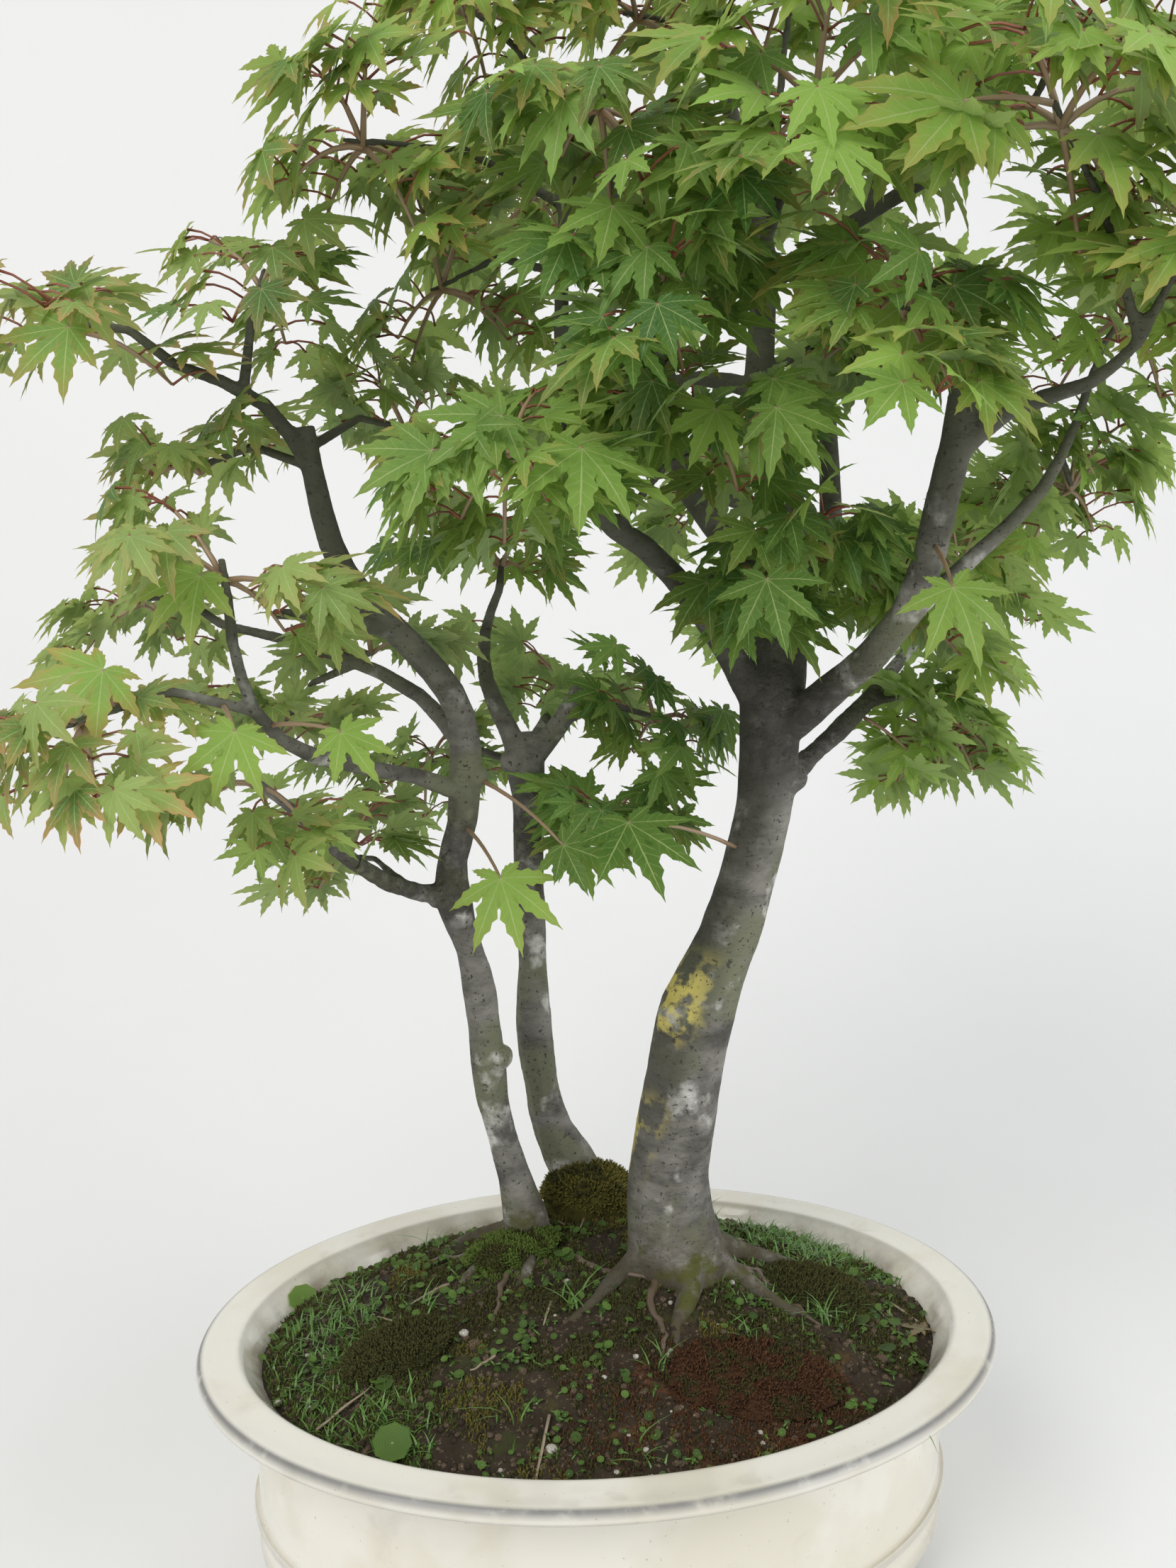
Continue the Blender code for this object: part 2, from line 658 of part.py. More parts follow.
def make_clip(parts, name, x):
    """A bent wire that pins the screen: it crosses over it and turns out under the floor."""
    over = FLOOR_TOP + 2 * GAP + SCREEN_THICKNESS + CLIP_RADIUS
    under = FOOT_HEIGHT - GAP - CLIP_RADIUS
    leg = CLIP_LEG_X
    y = (2 * SCREEN_HALF - SCREEN_BAR) / SCREEN_CELLS / 2  # the middle of a row of cells
    half_route = [
        (leg - CLIP_BEND_X, over),
        (leg, over - CLIP_BEND_Z),
        (leg, under + CLIP_BEND_Z),
        (leg + CLIP_BEND_X, under),
        (leg + CLIP_TAIL, under),
    ]
    route = [(-u, z) for u, z in reversed(half_route)] + half_route
    points = [(x + u, y, z, CLIP_RADIUS) for u, z in route]
    return add_object(name, curve_tube(name, points, sides_step=1, smooth=1), parts, "clip_wire")


def mound_height(x, y):
    """Height of the soil's surface: a low dome, raised round the foot of each tree."""
    length = POT_HALF_LENGTH - MOUND_INSET
    width = POT_HALF_WIDTH - MOUND_INSET
    out = min(1.0, math.hypot(x / length, y / width))
    height = SOIL_EDGE + SOIL_RISE * (1 - out**MOUND_POWER)
    for trunk, rise in FOOT_RISE.items():
        foot = TRUNKS[trunk][1]
        away = math.hypot(x - foot[0], y - foot[1])
        height += rise * math.exp(-((away / FOOT_SPREAD) ** 2))
    ripple = noise.noise(Vector((x * RIPPLE_SCALE, y * RIPPLE_SCALE, RIPPLE_SEED)))
    return height + RIPPLE_HEIGHT * ripple * (1 - out**RIPPLE_FADE)


def make_soil(parts, recesses):
    rings = [oval(height, inset) for height, inset in SOIL_SIDE]
    for share in SOIL_TOP_RINGS:
        edge = oval(0.0, SOIL_TOP_INSET)
        flat = [Vector((point.x * share, point.y * share, 0.0)) for point in edge]
        rings.append([Vector((p.x, p.y, mound_height(p.x, p.y))) for p in flat])
    soil = add_object("soil_mound", loft(rings), parts, "soil")
    add_boolean(soil, recesses, "DIFFERENCE")
    return bake(soil, crumbs=True)


def root_points(route):
    """Lays a root's (x, y, radius) points on the mound and sinks its end."""
    points = []
    for number, (x, y, radius) in enumerate(route):
        height = mound_height(x, y) + ROOT_SHOWING * radius
        if number == len(route) - 1:
            height -= ROOT_DIVE
        points.append((x, y, height, radius))
    return points


def limb_samples(tree):
    """Points along a tree's limbs and upper trunk, from which its leaf twigs may grow."""
    crotch = LIMBS[tree][0][0][2] - 0.05
    routes = LIMBS[tree] + [[p for p in TRUNKS[tree] if p[2] > crotch]]
    samples = []
    for route in routes:
        for start, end in zip(route, route[1:]):
            for step in range(4):
                samples.append(Vector(start[:3]).lerp(Vector(end[:3]), step / 4))
        samples.append(Vector(route[-1][:3]))
    return samples


def twig_points(tree, centre):
    """A twig from the nearest wood, chosen a little below the cluster, into its middle."""
    target = Vector(centre)
    reach = {}
    for sample in limb_samples(tree):
        above = max(0.0, sample.z - target.z)
        reach[(target - sample).length + TWIG_DROP_COST * above] = sample
    start = reach[min(reach)]
    along = target - start
    middle = start + along * 0.5 + Vector((0.0, 0.0, min(TWIG_ARCH, along.length / 5)))
    end = start + along * (1 + TWIG_OVERRUN / max(along.length, 2 * TWIG_OVERRUN))
    return [(*start, TWIG_START), (*middle, (TWIG_START + TWIG_END) / 2), (*end, TWIG_END)]


def burl_mesh(x, y, z, radius):
    shell = bmesh.new()
    bmesh.ops.create_icosphere(shell, subdivisions=2, radius=radius, matrix=Matrix.Translation((x, y, z)))
    mesh = bpy.data.meshes.new("burl")
    shell.to_mesh(mesh)
    shell.free()
    return mesh


def make_tree(collection, tree, name, extra=0.0):
    """Trunk, roots, limbs and twigs grew as one piece of wood, so they are one solid."""
    branches = new_collection(name + "_branches")
    routes = [(route, 2 if route[0][3] > THICK_LIMB else 1, 2) for route in LIMBS[tree]]
    routes += [(root_points(route), 1, 2) for route in ROOTS[tree]]
    routes += [(twig_points(tree, centre), 1, 1) for centre, _ in CLUSTERS[tree].values()]
    meshes = [curve_tube("branch", grown(route, extra), step, smooth) for route, step, smooth in routes]
    meshes += [burl_mesh(x, y, z, radius + extra) for x, y, z, radius in BURLS[tree]]
    for mesh in meshes:
        as_cutter(add_object("branch", mesh, branches, "bark"))
    trunk = curve_tube("trunk", grown(TRUNKS[tree], extra), TRUNK_STEP[tree])
    wood = add_object(name, trunk, collection, "bark")
    add_boolean(wood, branches, "UNION")
    bake(wood, crumbs=True)
    for branch in list(branches.objects):
        bpy.data.objects.remove(branch, do_unlink=True)
    bpy.data.collections.remove(branches)
    return wood


def lumpy_sphere(centre, half, segments, rings, lump, seed):
    """A flattened sphere with a gently lumpy outline."""
    shell = bmesh.new()
    bmesh.ops.create_uvsphere(shell, u_segments=segments, v_segments=rings, radius=1.0)
    for vert in shell.verts:
        bump = noise.noise(vert.co * LUMP_SCALE + Vector((seed * LUMP_STEP[0], seed * LUMP_STEP[1], 0.0)))
        vert.co *= 1 - lump * abs(bump)
        vert.co = Vector(vert.co[axis] * half[axis] + centre[axis] for axis in range(3))
    mesh = bpy.data.meshes.new("lumpy_sphere")
    shell.to_mesh(mesh)
    shell.free()
    return mesh


def make_leaf_clusters(parts, wood_rooms):
    """Each cluster of leaves sits on the end of its twig, in the space its leaves fill."""
    seed = 0
    for tree, clusters in CLUSTERS.items():
        for name, (centre, half) in clusters.items():
            seed += 1
            mesh = lumpy_sphere(centre, half, *CLUSTER_FACETS, CLUSTER_LUMP, seed)
            cluster = add_object(f"{tree}_leaves_{name}", mesh, parts, "leaf")
            add_boolean(cluster, wood_rooms, "DIFFERENCE")
            bake(cluster, crumbs=True)


def moss_mesh(x, y, half, seed, extra=0.0):
    """A low cushion sheared to the slope of the mound that it grows on."""
    z = mound_height(x, y) + half[2] * (0.5 - MOSS_SUNK)
    mesh = lumpy_sphere((x, y, z), [size + extra for size in half], *MOSS_FACETS, MOSS_LUMP, seed)
    step = SLOPE_STEP
    slope_x = (mound_height(x + step, y) - mound_height(x - step, y)) / (2 * step)
    slope_y = (mound_height(x, y + step) - mound_height(x, y - step)) / (2 * step)
    for vert in mesh.vertices:
        vert.co.z += slope_x * (vert.co.x - x) + slope_y * (vert.co.y - y)
    return mesh


def make_mosses(parts, wood_rooms, recesses):
    for seed, (name, (x, y, half)) in enumerate(MOSSES.items(), start=MOSS_FIRST_SEED):
        moss = add_object(name, moss_mesh(x, y, half, seed), parts, "moss")
        add_boolean(moss, wood_rooms, "DIFFERENCE")
        bake(moss, crumbs=True)
        room = moss_mesh(x, y, half, seed, extra=3 * GAP)
        as_cutter(add_object(f"room_for_{name}", room, recesses, "moss"))


def main():
    clear_scene()
    parts = new_collection("maple_bonsai")
    cutters = new_collection("cutters")
    wood_rooms = new_collection("wood_rooms")
    recesses = new_collection("soil_recesses")
    make_pot(parts, cutters)
    for side, name in ((-1, "left"), (1, "right")):
        bake(make_screen(parts, f"drain_screen_{name}", side * DRAIN_X))
        make_clip(parts, f"drain_clip_{name}", side * DRAIN_X)
        recess = drain_recess(side * DRAIN_X)
        as_cutter(add_object(f"drain_recess_{name}", recess, recesses, "soil"))
    for tree in TRUNKS:
        make_tree(parts, tree, f"{tree}_tree_wood")
        room = as_cutter(make_tree(wood_rooms, tree, f"room_for_{tree}_wood", extra=GAP))
        recesses.objects.link(room)
    make_leaf_clusters(parts, wood_rooms)
    make_mosses(parts, wood_rooms, recesses)
    make_soil(parts, recesses)


main()
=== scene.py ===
# %% [markdown]
# # A maple bonsai in an oval pot
#
# Three Japanese maples share one low oval pot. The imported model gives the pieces, their places and their
# sizes. This lesson gives them their looks: bark, single leaves on red stalks, moss, soil and glaze.
# Everything is in metres, with the pot standing on z = 0 and the front of the tree towards -Y.

# %% Load the frame
import math
import random

import bmesh
import bpy
import numpy as np
from mathutils import Matrix, Vector, noise


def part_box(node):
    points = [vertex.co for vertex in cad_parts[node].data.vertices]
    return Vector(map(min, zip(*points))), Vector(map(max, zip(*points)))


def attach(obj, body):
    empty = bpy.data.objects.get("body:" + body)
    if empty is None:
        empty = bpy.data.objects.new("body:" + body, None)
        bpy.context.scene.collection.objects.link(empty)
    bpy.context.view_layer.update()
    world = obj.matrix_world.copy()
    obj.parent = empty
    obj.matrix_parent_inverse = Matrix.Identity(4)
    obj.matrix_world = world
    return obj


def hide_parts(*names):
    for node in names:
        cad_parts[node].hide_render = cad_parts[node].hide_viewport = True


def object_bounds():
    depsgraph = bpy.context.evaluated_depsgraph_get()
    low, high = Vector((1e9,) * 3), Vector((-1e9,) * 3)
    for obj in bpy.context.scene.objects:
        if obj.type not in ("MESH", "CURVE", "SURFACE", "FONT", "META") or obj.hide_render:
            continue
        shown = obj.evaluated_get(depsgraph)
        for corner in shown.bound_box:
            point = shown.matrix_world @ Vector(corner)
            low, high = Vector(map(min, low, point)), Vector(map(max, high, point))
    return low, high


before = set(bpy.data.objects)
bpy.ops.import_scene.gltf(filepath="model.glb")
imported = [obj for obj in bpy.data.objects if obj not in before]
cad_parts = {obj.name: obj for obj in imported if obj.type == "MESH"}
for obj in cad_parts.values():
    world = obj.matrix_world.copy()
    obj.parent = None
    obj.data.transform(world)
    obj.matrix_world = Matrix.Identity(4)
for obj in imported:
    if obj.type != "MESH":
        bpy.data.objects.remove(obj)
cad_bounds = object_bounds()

UP = Vector((0, 0, 1))
print("nodes in the frame:", len(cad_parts))

# %% [markdown]
# ## Camera
#
# The camera is a hand-held phone, a little above the pot and level with the lower leaves, tipped down by
# five degrees. A camera can be turned by angles, but three axis vectors say plainly where right, up and
# back point, and a matrix takes them as they are.

# %% Camera
LENS_MM = 28.0
CAMERA_PLACE = Vector((-0.0778, -0.7012, 0.5284))
LOOK = Vector((0.1073, 0.9905, -0.0864)).normalized()
LEAN = Vector((0.0280, 0.0839, 0.9961))


def placed(name, data):
    """A new object that shows this data in the scene."""
    made = bpy.data.objects.new(name, data)
    bpy.context.scene.collection.objects.link(made)
    return made


def add_camera():
    right = LOOK.cross(LEAN).normalized()
    up = right.cross(LOOK)
    data = bpy.data.cameras.new("camera")
    data.lens = LENS_MM
    data.clip_start = 0.01
    camera = placed("camera", data)
    camera.matrix_world = Matrix.Translation(CAMERA_PLACE) @ Matrix((right, up, -LOOK)).transposed().to_4x4()
    bpy.context.scene.camera = camera


add_camera()
print("camera height:", round(CAMERA_PLACE.z, 3))

# %% [markdown]
# ## Node helpers
#
# A material is a small network, and writing each link by hand hides what it does. Here a node's output is
# wrapped as a `Value`, so that a mask times a number is written with a plain star, and Blender gets the
# math node. The other helpers are what nearly every finish needs: a blend of two colours, a soft
# threshold, a noise, and the last wires to the shader.

# %% Values
class Value:
    """A node's output, which adds, subtracts and multiplies like a number."""

    def __init__(self, socket):
        self.socket = socket
        self.tree = socket.id_data

    def __add__(self, other):
        return calc("ADD", self, other)

    def __sub__(self, other):
        return calc("SUBTRACT", self, other)

    def __rsub__(self, other):
        return calc("SUBTRACT", other, self)

    def __mul__(self, other):
        return calc("MULTIPLY", self, other)


def add(tree, kind, inputs, output=0, **settings):
    """Adds a node, sets or links its inputs, and gives one of its outputs."""
    made = tree.nodes.new(kind)
    for key, value in settings.items():
        setattr(made, key, value)
    for key, value in inputs.items():
        if isinstance(value, Value):
            tree.links.new(value.socket, made.inputs[key])
        elif isinstance(value, tuple) and made.inputs[key].type == "RGBA":
            made.inputs[key].default_value = (*value, 1.0)
        else:
            made.inputs[key].default_value = value
    return Value(made.outputs[output])


def tree_of(*values):
    return next(value.tree for value in values if isinstance(value, Value))


print("values add, subtract and multiply")

# %% Node helpers
COLOUR_OUTPUT = 2  # of a Mix node that mixes colours; its colour inputs are 6 and 7


def blend(factor, first, second):
    inputs = {0: factor, 6: first, 7: second}
    return add(tree_of(factor, first, second), "ShaderNodeMix", inputs, COLOUR_OUTPUT, data_type="RGBA")


def calc(operation, first, second=0.5):
    return add(tree_of(first, second), "ShaderNodeMath", {0: first, 1: second}, operation=operation)


def threshold(value, low, high):
    inputs = {"Value": value, "From Min": low, "From Max": high}
    return add(value.tree, "ShaderNodeMapRange", inputs, interpolation_type="SMOOTHSTEP")


def near(value, centre, none, full):
    """1 where the value is within full of the centre, and 0 from none outwards."""
    return threshold(calc("ABSOLUTE", value - centre), none, full)


def attribute(at, name):
    return add(at.tree, "ShaderNodeAttribute", {}, "Fac", attribute_name=name)


def along_axis(at, axis):
    return add(at.tree, "ShaderNodeSeparateXYZ", {0: at}, axis)


def stretched(at, scale):
    return add(at.tree, "ShaderNodeMapping", {"Vector": at, "Scale": scale})


def fine_noise(at, scale, detail=6.0):
    inputs = {"Vector": at, "Scale": scale, "Detail": detail, "Roughness": 0.6}
    return add(at.tree, "ShaderNodeTexNoise", inputs, "Fac")


def new_material(name):
    """A new material, its shader, and the place of each point in the object."""
    material = bpy.data.materials.new(name)
    material.use_nodes = True
    tree = material.node_tree
    return material, tree.nodes["Principled BSDF"], add(tree, "ShaderNodeTexCoord", {}, "Object")


def wire_up(shader, colour, roughness, height=None, bump=0.3, distance=0.001, specular=0.5):
    """Feeds the shader its colour, its roughness as a value or a number, and a bump made from a height."""
    links = shader.id_data.links
    links.new(colour.socket, shader.inputs["Base Color"])
    if isinstance(roughness, Value):
        links.new(roughness.socket, shader.inputs["Roughness"])
    else:
        shader.inputs["Roughness"].default_value = roughness
    shader.inputs["Specular IOR Level"].default_value = specular
    if height is not None:
        relief = {"Height": height, "Strength": bump, "Distance": distance}
        links.new(add(height.tree, "ShaderNodeBump", relief).socket, shader.inputs["Normal"])


print("finishes are wired from values")

# %% [markdown]
# ## Shared effects
#
# Patches and speckles turn up on bark, glaze, soil and moss alike. They could be copied into each
# material, but a node group keeps one recipe with its own scale and amount in each place. Both groups put
# out only a mask.

# %% Patches and speckles
def mask_group(name, detail, roughness, softness):
    group = bpy.data.node_groups.new(name, "ShaderNodeTree")
    for key, kind in (("Vector", "Vector"), ("Scale", "Float"), ("Amount", "Float")):
        group.interface.new_socket(key, in_out="INPUT", socket_type="NodeSocket" + kind)
    group.interface.new_socket("Mask", in_out="OUTPUT", socket_type="NodeSocketFloat")
    start = group.nodes.new("NodeGroupInput").outputs
    inputs = {"Vector": Value(start["Vector"]), "Scale": Value(start["Scale"]), "Detail": detail,
              "Roughness": roughness}
    texture = add(group, "ShaderNodeTexNoise", inputs, "Fac")
    low = 1.0 - Value(start["Amount"])
    end = group.nodes.new("NodeGroupOutput")
    group.links.new(threshold(texture, low, low + softness).socket, end.inputs["Mask"])
    return group


patches = mask_group("patches", 4.0, 0.55, 0.12)
speckles = mask_group("speckles", 2.0, 0.70, 0.05)


def mask(group, at, scale, amount):
    inputs = {"Vector": at, "Scale": scale, "Amount": amount}
    return add(at.tree, "ShaderNodeGroup", inputs, "Mask", node_tree=group)


print("groups:", patches.name, speckles.name)

# %% [markdown]
# ## Bark
#
# Young maple bark is smooth and grey-green, and it turns pale and blotched with age. Whitish patches and
# dark specks lie on it, short pores roughen it, and moss climbs its foot. A painted shade darkens the left
# side of the old trunk, where yellow lichen grows. The colours are layered from the widest patch to the
# smallest speck.

# %% Bark
TRUNK_LEAN = 0.35  # how far the main trunk moves sideways for each metre up
LICHEN_HEIGHTS = (0.262, 0.345)


def bark_material(name, lichen_and_shade, fork):
    """Grey bark; lichen_and_shade is how much lichen grows and how dark the painted shade on the left side
    is, and fork is the height of the coarse fork.
    """
    material, shader, at = new_material(name)
    height = along_axis(at, "Z")
    rings = stretched(at, (0.8, 0.8, 1.5))
    colour = blend(threshold(fine_noise(rings, 40), 0.3, 0.7), (0.085, 0.080, 0.070), (0.270, 0.256, 0.230))
    colour = blend(mask(patches, at, 16, 0.50), colour, (0.175, 0.180, 0.120))
    pale = mask(patches, at, 34, 0.43) * fine_noise(at, 260)
    colour = blend(pale * 1.5, colour, (0.64, 0.63, 0.59))
    lean = along_axis(at, "X") - height * TRUNK_LEAN
    # A painted shade darkens the left side of the old trunk.
    painted_side_shade = threshold(lean, -0.048, -0.070) * lichen_and_shade * threshold(fine_noise(at, 40), 0.2, 0.5)
    colour = blend(painted_side_shade * 0.85, colour, (0.055, 0.055, 0.042))
    upper = blend(fine_noise(rings, 60), (0.035, 0.037, 0.026), (0.115, 0.118, 0.080))
    colour = blend(threshold(height, fork + 0.02, fork + 0.16) * 0.85, colour, upper)
    coarse = near(height, fork, 0.06, 0.015) * threshold(fine_noise(at, 150), 0.30, 0.62)
    colour = blend(coarse * 0.8, colour, (0.060, 0.055, 0.048))
    low_patch, high_patch = (near(height, level, 0.034, 0.010) for level in LICHEN_HEIGHTS)
    side = threshold(lean, -0.054, -0.074) * calc("MAXIMUM", low_patch, high_patch)
    colour = blend(side * (mask(patches, at, 70, 0.52) * lichen_and_shade), colour, (0.50, 0.43, 0.12))
    colour = blend(mask(speckles, at, 330, 0.38) * 0.85, colour, (0.045, 0.040, 0.033))
    stain = threshold(height, 0.225, 0.180) * threshold(fine_noise(at, 75), 0.2, 0.55)
    colour = blend(stain * 0.92, colour, (0.070, 0.058, 0.034))
    mossy = threshold(height, 0.226, 0.190) * mask(patches, at, 45, 0.47)
    colour = blend(mossy * 0.9, colour, (0.075, 0.080, 0.017))
    pores = mask(speckles, stretched(at, (0.8, 0.8, 2.6)), 170, 0.38)
    relief = fine_noise(rings, 150) + coarse * 1.6 + pores * 0.4
    wire_up(shader, colour, threshold(fine_noise(at, 90), -1.8, 1.0), relief, 0.75, 0.0016, 0.2)
    return material


old_bark = bark_material("old_bark", 0.9, 0.500)
young_bark = bark_material("young_bark", 0.0, 0.420)
print("barks:", old_bark.name, young_bark.name)

# %% [markdown]
# ## Wood
#
# Each tree is one grown piece. The frame holds it as plain tubes joined together. A remesh turns that
# into an even skin without creases at the forks, a smoothing pass rounds the facets, and noise moves the
# points along their normals to swell and wrinkle the bark. Sculpting would look as good, but code can be
# run again.

# %% Wood
SWELL = 0.0016
WRINKLE = 0.0005
AGED_OVER = 0.12  # the height over which bark turns from old and wrinkled to young
YOUNG_SHARE = 0.15  # what is left of the wrinkles on young wood


def copy_of(node, name):
    return placed(name, bpy.data.objects[node].data.copy())


def applied(obj):
    """The object with its modifiers turned into its mesh."""
    bpy.context.view_layer.update()
    graph = bpy.context.evaluated_depsgraph_get()
    mesh = bpy.data.meshes.new_from_object(obj.evaluated_get(graph))
    obj.modifiers.clear()
    obj.data = mesh
    return obj


def smooth_skin(obj, voxel, passes):
    remesh = obj.modifiers.new("even_skin", "REMESH")
    remesh.mode = "VOXEL"
    remesh.voxel_size = voxel
    smooth = obj.modifiers.new("rounding", "SMOOTH")
    smooth.factor = 0.5
    smooth.iterations = passes
    return applied(obj)


def wrinkle_bark(obj, thick_below):
    """Swells and wrinkles the skin, least on the thin upper wood."""
    mesh = obj.data
    # All normals are read before the first point moves, because each move makes Blender work them out again.
    normals = [normal.vector.copy() for normal in mesh.vertex_normals]
    moved = []
    for vert, normal in zip(mesh.vertices, normals):
        place = vert.co
        age = min(1.0, max(YOUNG_SHARE, (thick_below - place.z) / AGED_OVER + 0.3))
        swell = noise.noise(Vector((place.x * 34, place.y * 34, place.z * 22)))
        wrinkle = noise.noise(Vector((place.x * 190, place.y * 190, place.z * 60)))
        moved.extend(place + normal * age * (SWELL * swell + WRINKLE * wrinkle))
    mesh.vertices.foreach_set("co", moved)
    mesh.update()
    mesh.shade_smooth()


def make_wood(tree, voxel, thick_below, material):
    node = f"{tree}_tree_wood"
    wood = copy_of(node, f"{tree}_tree_bark")
    smooth_skin(wood, voxel, 10)
    wrinkle_bark(wood, thick_below)
    wood.data.materials.clear()
    wood.data.materials.append(material)
    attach(wood, "root")
    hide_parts(node)
    print(wood.name, len(wood.data.polygons), "faces")
    return wood


woods = [
    make_wood("main", 0.0018, 0.56, old_bark),
    make_wood("middle", 0.0011, 0.48, young_bark),
    make_wood("left", 0.0011, 0.50, young_bark),
]

# %% [markdown]
# ## Leaf finish
#
# A maple leaf is not one green. It is darker between the veins, paler along them, warmer towards the
# toothed edge and the tips, and dull and pale underneath. The leaf mesh carries four numbers at each
# point: how near the rib it is, how far out along its lobe, a tone that is partly painted light and
# shade, and a warmth for the whole leaf.
# The material reads those, so that one material serves every leaf of a tree. A leaf is also thin enough to
# glow with the light behind it, so a translucent shader is mixed in.

# %% Leaf finish
THIN = 0.36  # the share of light that passes through a leaf


def leaf_material(name, deep, light, warm):
    material, shader, at = new_material(name)
    rib, along = attribute(at, "leaf_rib"), attribute(at, "leaf_along")
    edge = 1.0 - rib
    cloud = fine_noise(at, 70, 3.0)
    # The tone is partly painted light and shade: it makes the green deep for leaves in shade and light for
    # sunlit ones.
    colour = blend(threshold(attribute(at, "leaf_tone_and_light") + cloud * 0.5, 0.1, 1.4), deep, light)
    flush = threshold(along, 0.35, 1.0) * 0.8 + threshold(edge, 0.55, 1.0) * 0.5
    colour = blend(flush * attribute(at, "leaf_warm"), colour, warm)
    side_veins = threshold(calc("SINE", along * 52.0 + edge * -7.0), 0.86, 1.0)
    veins = calc("MAXIMUM", threshold(rib, 0.90, 0.97), side_veins * 0.35)
    colour = blend(veins * 0.6, colour, (0.52, 0.60, 0.26))
    under = add(at.tree, "ShaderNodeNewGeometry", {}, "Backfacing")
    colour = blend(under * 0.45, colour, (0.42, 0.52, 0.26))
    rough = threshold(cloud + under, -1.2, 1.9)
    wire_up(shader, colour, rough, cloud * 0.5 - veins, 0.35, 0.0006, 0.35)
    glow = add(at.tree, "ShaderNodeBsdfTranslucent", {"Color": blend(0.5, colour, (0.46, 0.60, 0.10))})
    both = add(at.tree, "ShaderNodeMixShader", {0: THIN, 1: Value(shader.outputs[0]), 2: glow})
    at.tree.links.new(both.socket, at.tree.nodes["Material Output"].inputs["Surface"])
    return material


def stalk_material(name, pale, red):
    material, shader, at = new_material(name)
    wire_up(shader, blend(fine_noise(at, 45), pale, red), 0.45, fine_noise(at, 400), 0.2, 0.0003)
    return material


leaf_finishes = {
    "main": leaf_material("green_leaf", (0.035, 0.115, 0.018), (0.29, 0.47, 0.085), (0.50, 0.25, 0.09)),
    "middle": leaf_material("deep_leaf", (0.035, 0.115, 0.020), (0.23, 0.41, 0.09), (0.45, 0.27, 0.09)),
    "left": leaf_material("bronze_leaf", (0.050, 0.130, 0.025), (0.33, 0.45, 0.13), (0.55, 0.24, 0.12)),
}
red_stalk = stalk_material("red_stalk", (0.28, 0.12, 0.06), (0.26, 0.05, 0.04))
twig_skin = stalk_material("twig_skin", (0.28, 0.25, 0.15), (0.34, 0.17, 0.10))
print("leaf finishes:", len(leaf_finishes))

# %% [markdown]
# ## The shape of one leaf
#
# The blade has seven pointed lobes that fan out from the stalk. It could be a picture on a card, but a
# card has no edge and no fold. Here each lobe is a strip on either side of its rib: it leaves the notch
# between two lobes, widens, and runs out to a long tip, with a tooth at every second point. The ribs lie
# lower than the edges, and the whole blade droops, so that light catches each lobe by itself.

# %% Leaf shape
LOBES = [(-122, 0.36), (-78, 0.70), (-38, 0.92), (0, 1.00), (38, 0.92), (78, 0.70), (122, 0.36)]
NOTCHES = [0.06, 0.14, 0.21, 0.25, 0.25, 0.21, 0.14, 0.06]
OUTER_ANGLE = 158
SHAPES = 14  # different blades
MARGIN_STEPS = 9
LOBE_WIDTH = 0.104


def lobe_margin(start, length, width, step):
    """How far out and how wide the lobe is at this step from its notch to its tip."""
    part = step / MARGIN_STEPS
    out = start + (length - start) * part
    wide = width * (1 - part) ** 1.6
    wide += LOBE_WIDTH * length**0.7 * math.sin(math.pi * part**0.8) ** 1.2 * (1 - 0.3 * part)
    if 0 < step < MARGIN_STEPS:
        wide *= 1.16 if step % 2 else 0.86
        out += 0.012 if step % 2 else -0.006
    return out, max(wide, 0.0)


def leaf_shape(rng):
    """One leaf of unit length as points, faces and the two numbers that its finish reads."""
    points, faces, ribs, alongs = [(0.0, 0.0, 0.0)], [], [1.0], [0.0]
    droop = rng.uniform(0.02, 0.20)
    fold = rng.uniform(0.10, 0.35)

    def put(out, side, angle, rib, along, tip_drop):
        turn = math.radians(angle)
        x = out * math.cos(turn) - side * math.sin(turn)
        y = out * math.sin(turn) + side * math.cos(turn)
        away = math.hypot(x, y)
        points.append((x, y, fold * abs(side) - droop * away**2 - tip_drop * along**3))
        ribs.append(rib)
        alongs.append(along)
        return len(points) - 1

    angles = [angle for angle, _ in LOBES]
    middles = [(a + b) / 2 for a, b in zip(angles, angles[1:])]
    borders = [-OUTER_ANGLE, *middles, OUTER_ANGLE]
    for number, (angle, length) in enumerate(LOBES):
        length *= rng.uniform(0.92, 1.06)
        bent = angle + rng.uniform(-4, 4)
        tip_drop = rng.uniform(-0.04, 0.13)
        tip = put(length, 0.0, bent, 1.0, 1.0, tip_drop)
        spine = None
        for hand, border, notch in ((-1, borders[number], NOTCHES[number]),
                                    (1, borders[number + 1], NOTCHES[number + 1])):
            apart = math.radians(abs(border - angle))
            start, width = notch * math.cos(apart), notch * math.sin(apart)
            rows = [lobe_margin(start, length, width, step) for step in range(MARGIN_STEPS)]
            if spine is None:
                spine = [put(out, 0.0, bent, 1.0, out / length, tip_drop) for out, _ in rows]
            rim = [put(out, hand * wide, bent if step else angle, 0.0, out / length, tip_drop)
                   for step, (out, wide) in enumerate(rows)]
            ladder = [(0, spine[0], rim[0])]
            ladder += [(spine[i], spine[i + 1], rim[i + 1], rim[i]) for i in range(MARGIN_STEPS - 1)]
            ladder.append((spine[-1], tip, rim[-1]))
            faces += [face[::-1] if hand < 0 else face for face in ladder]
    return np.array(points), faces, np.array(ribs), np.array(alongs)


shape_dice = random.Random(11)
leaf_shapes = [leaf_shape(shape_dice) for _ in range(SHAPES)]
print("faces in a leaf:", len(leaf_shapes[0][1]))

# %% [markdown]
# ## A mesh that gathers many small ones
#
# A cluster holds dozens of leaves and stalks. One object for each would be slow, so a builder gathers
# points, faces and leaf numbers, and makes a single mesh at the end. Thin tubes for stalks, twigs and
# blades of grass go through the same builder.

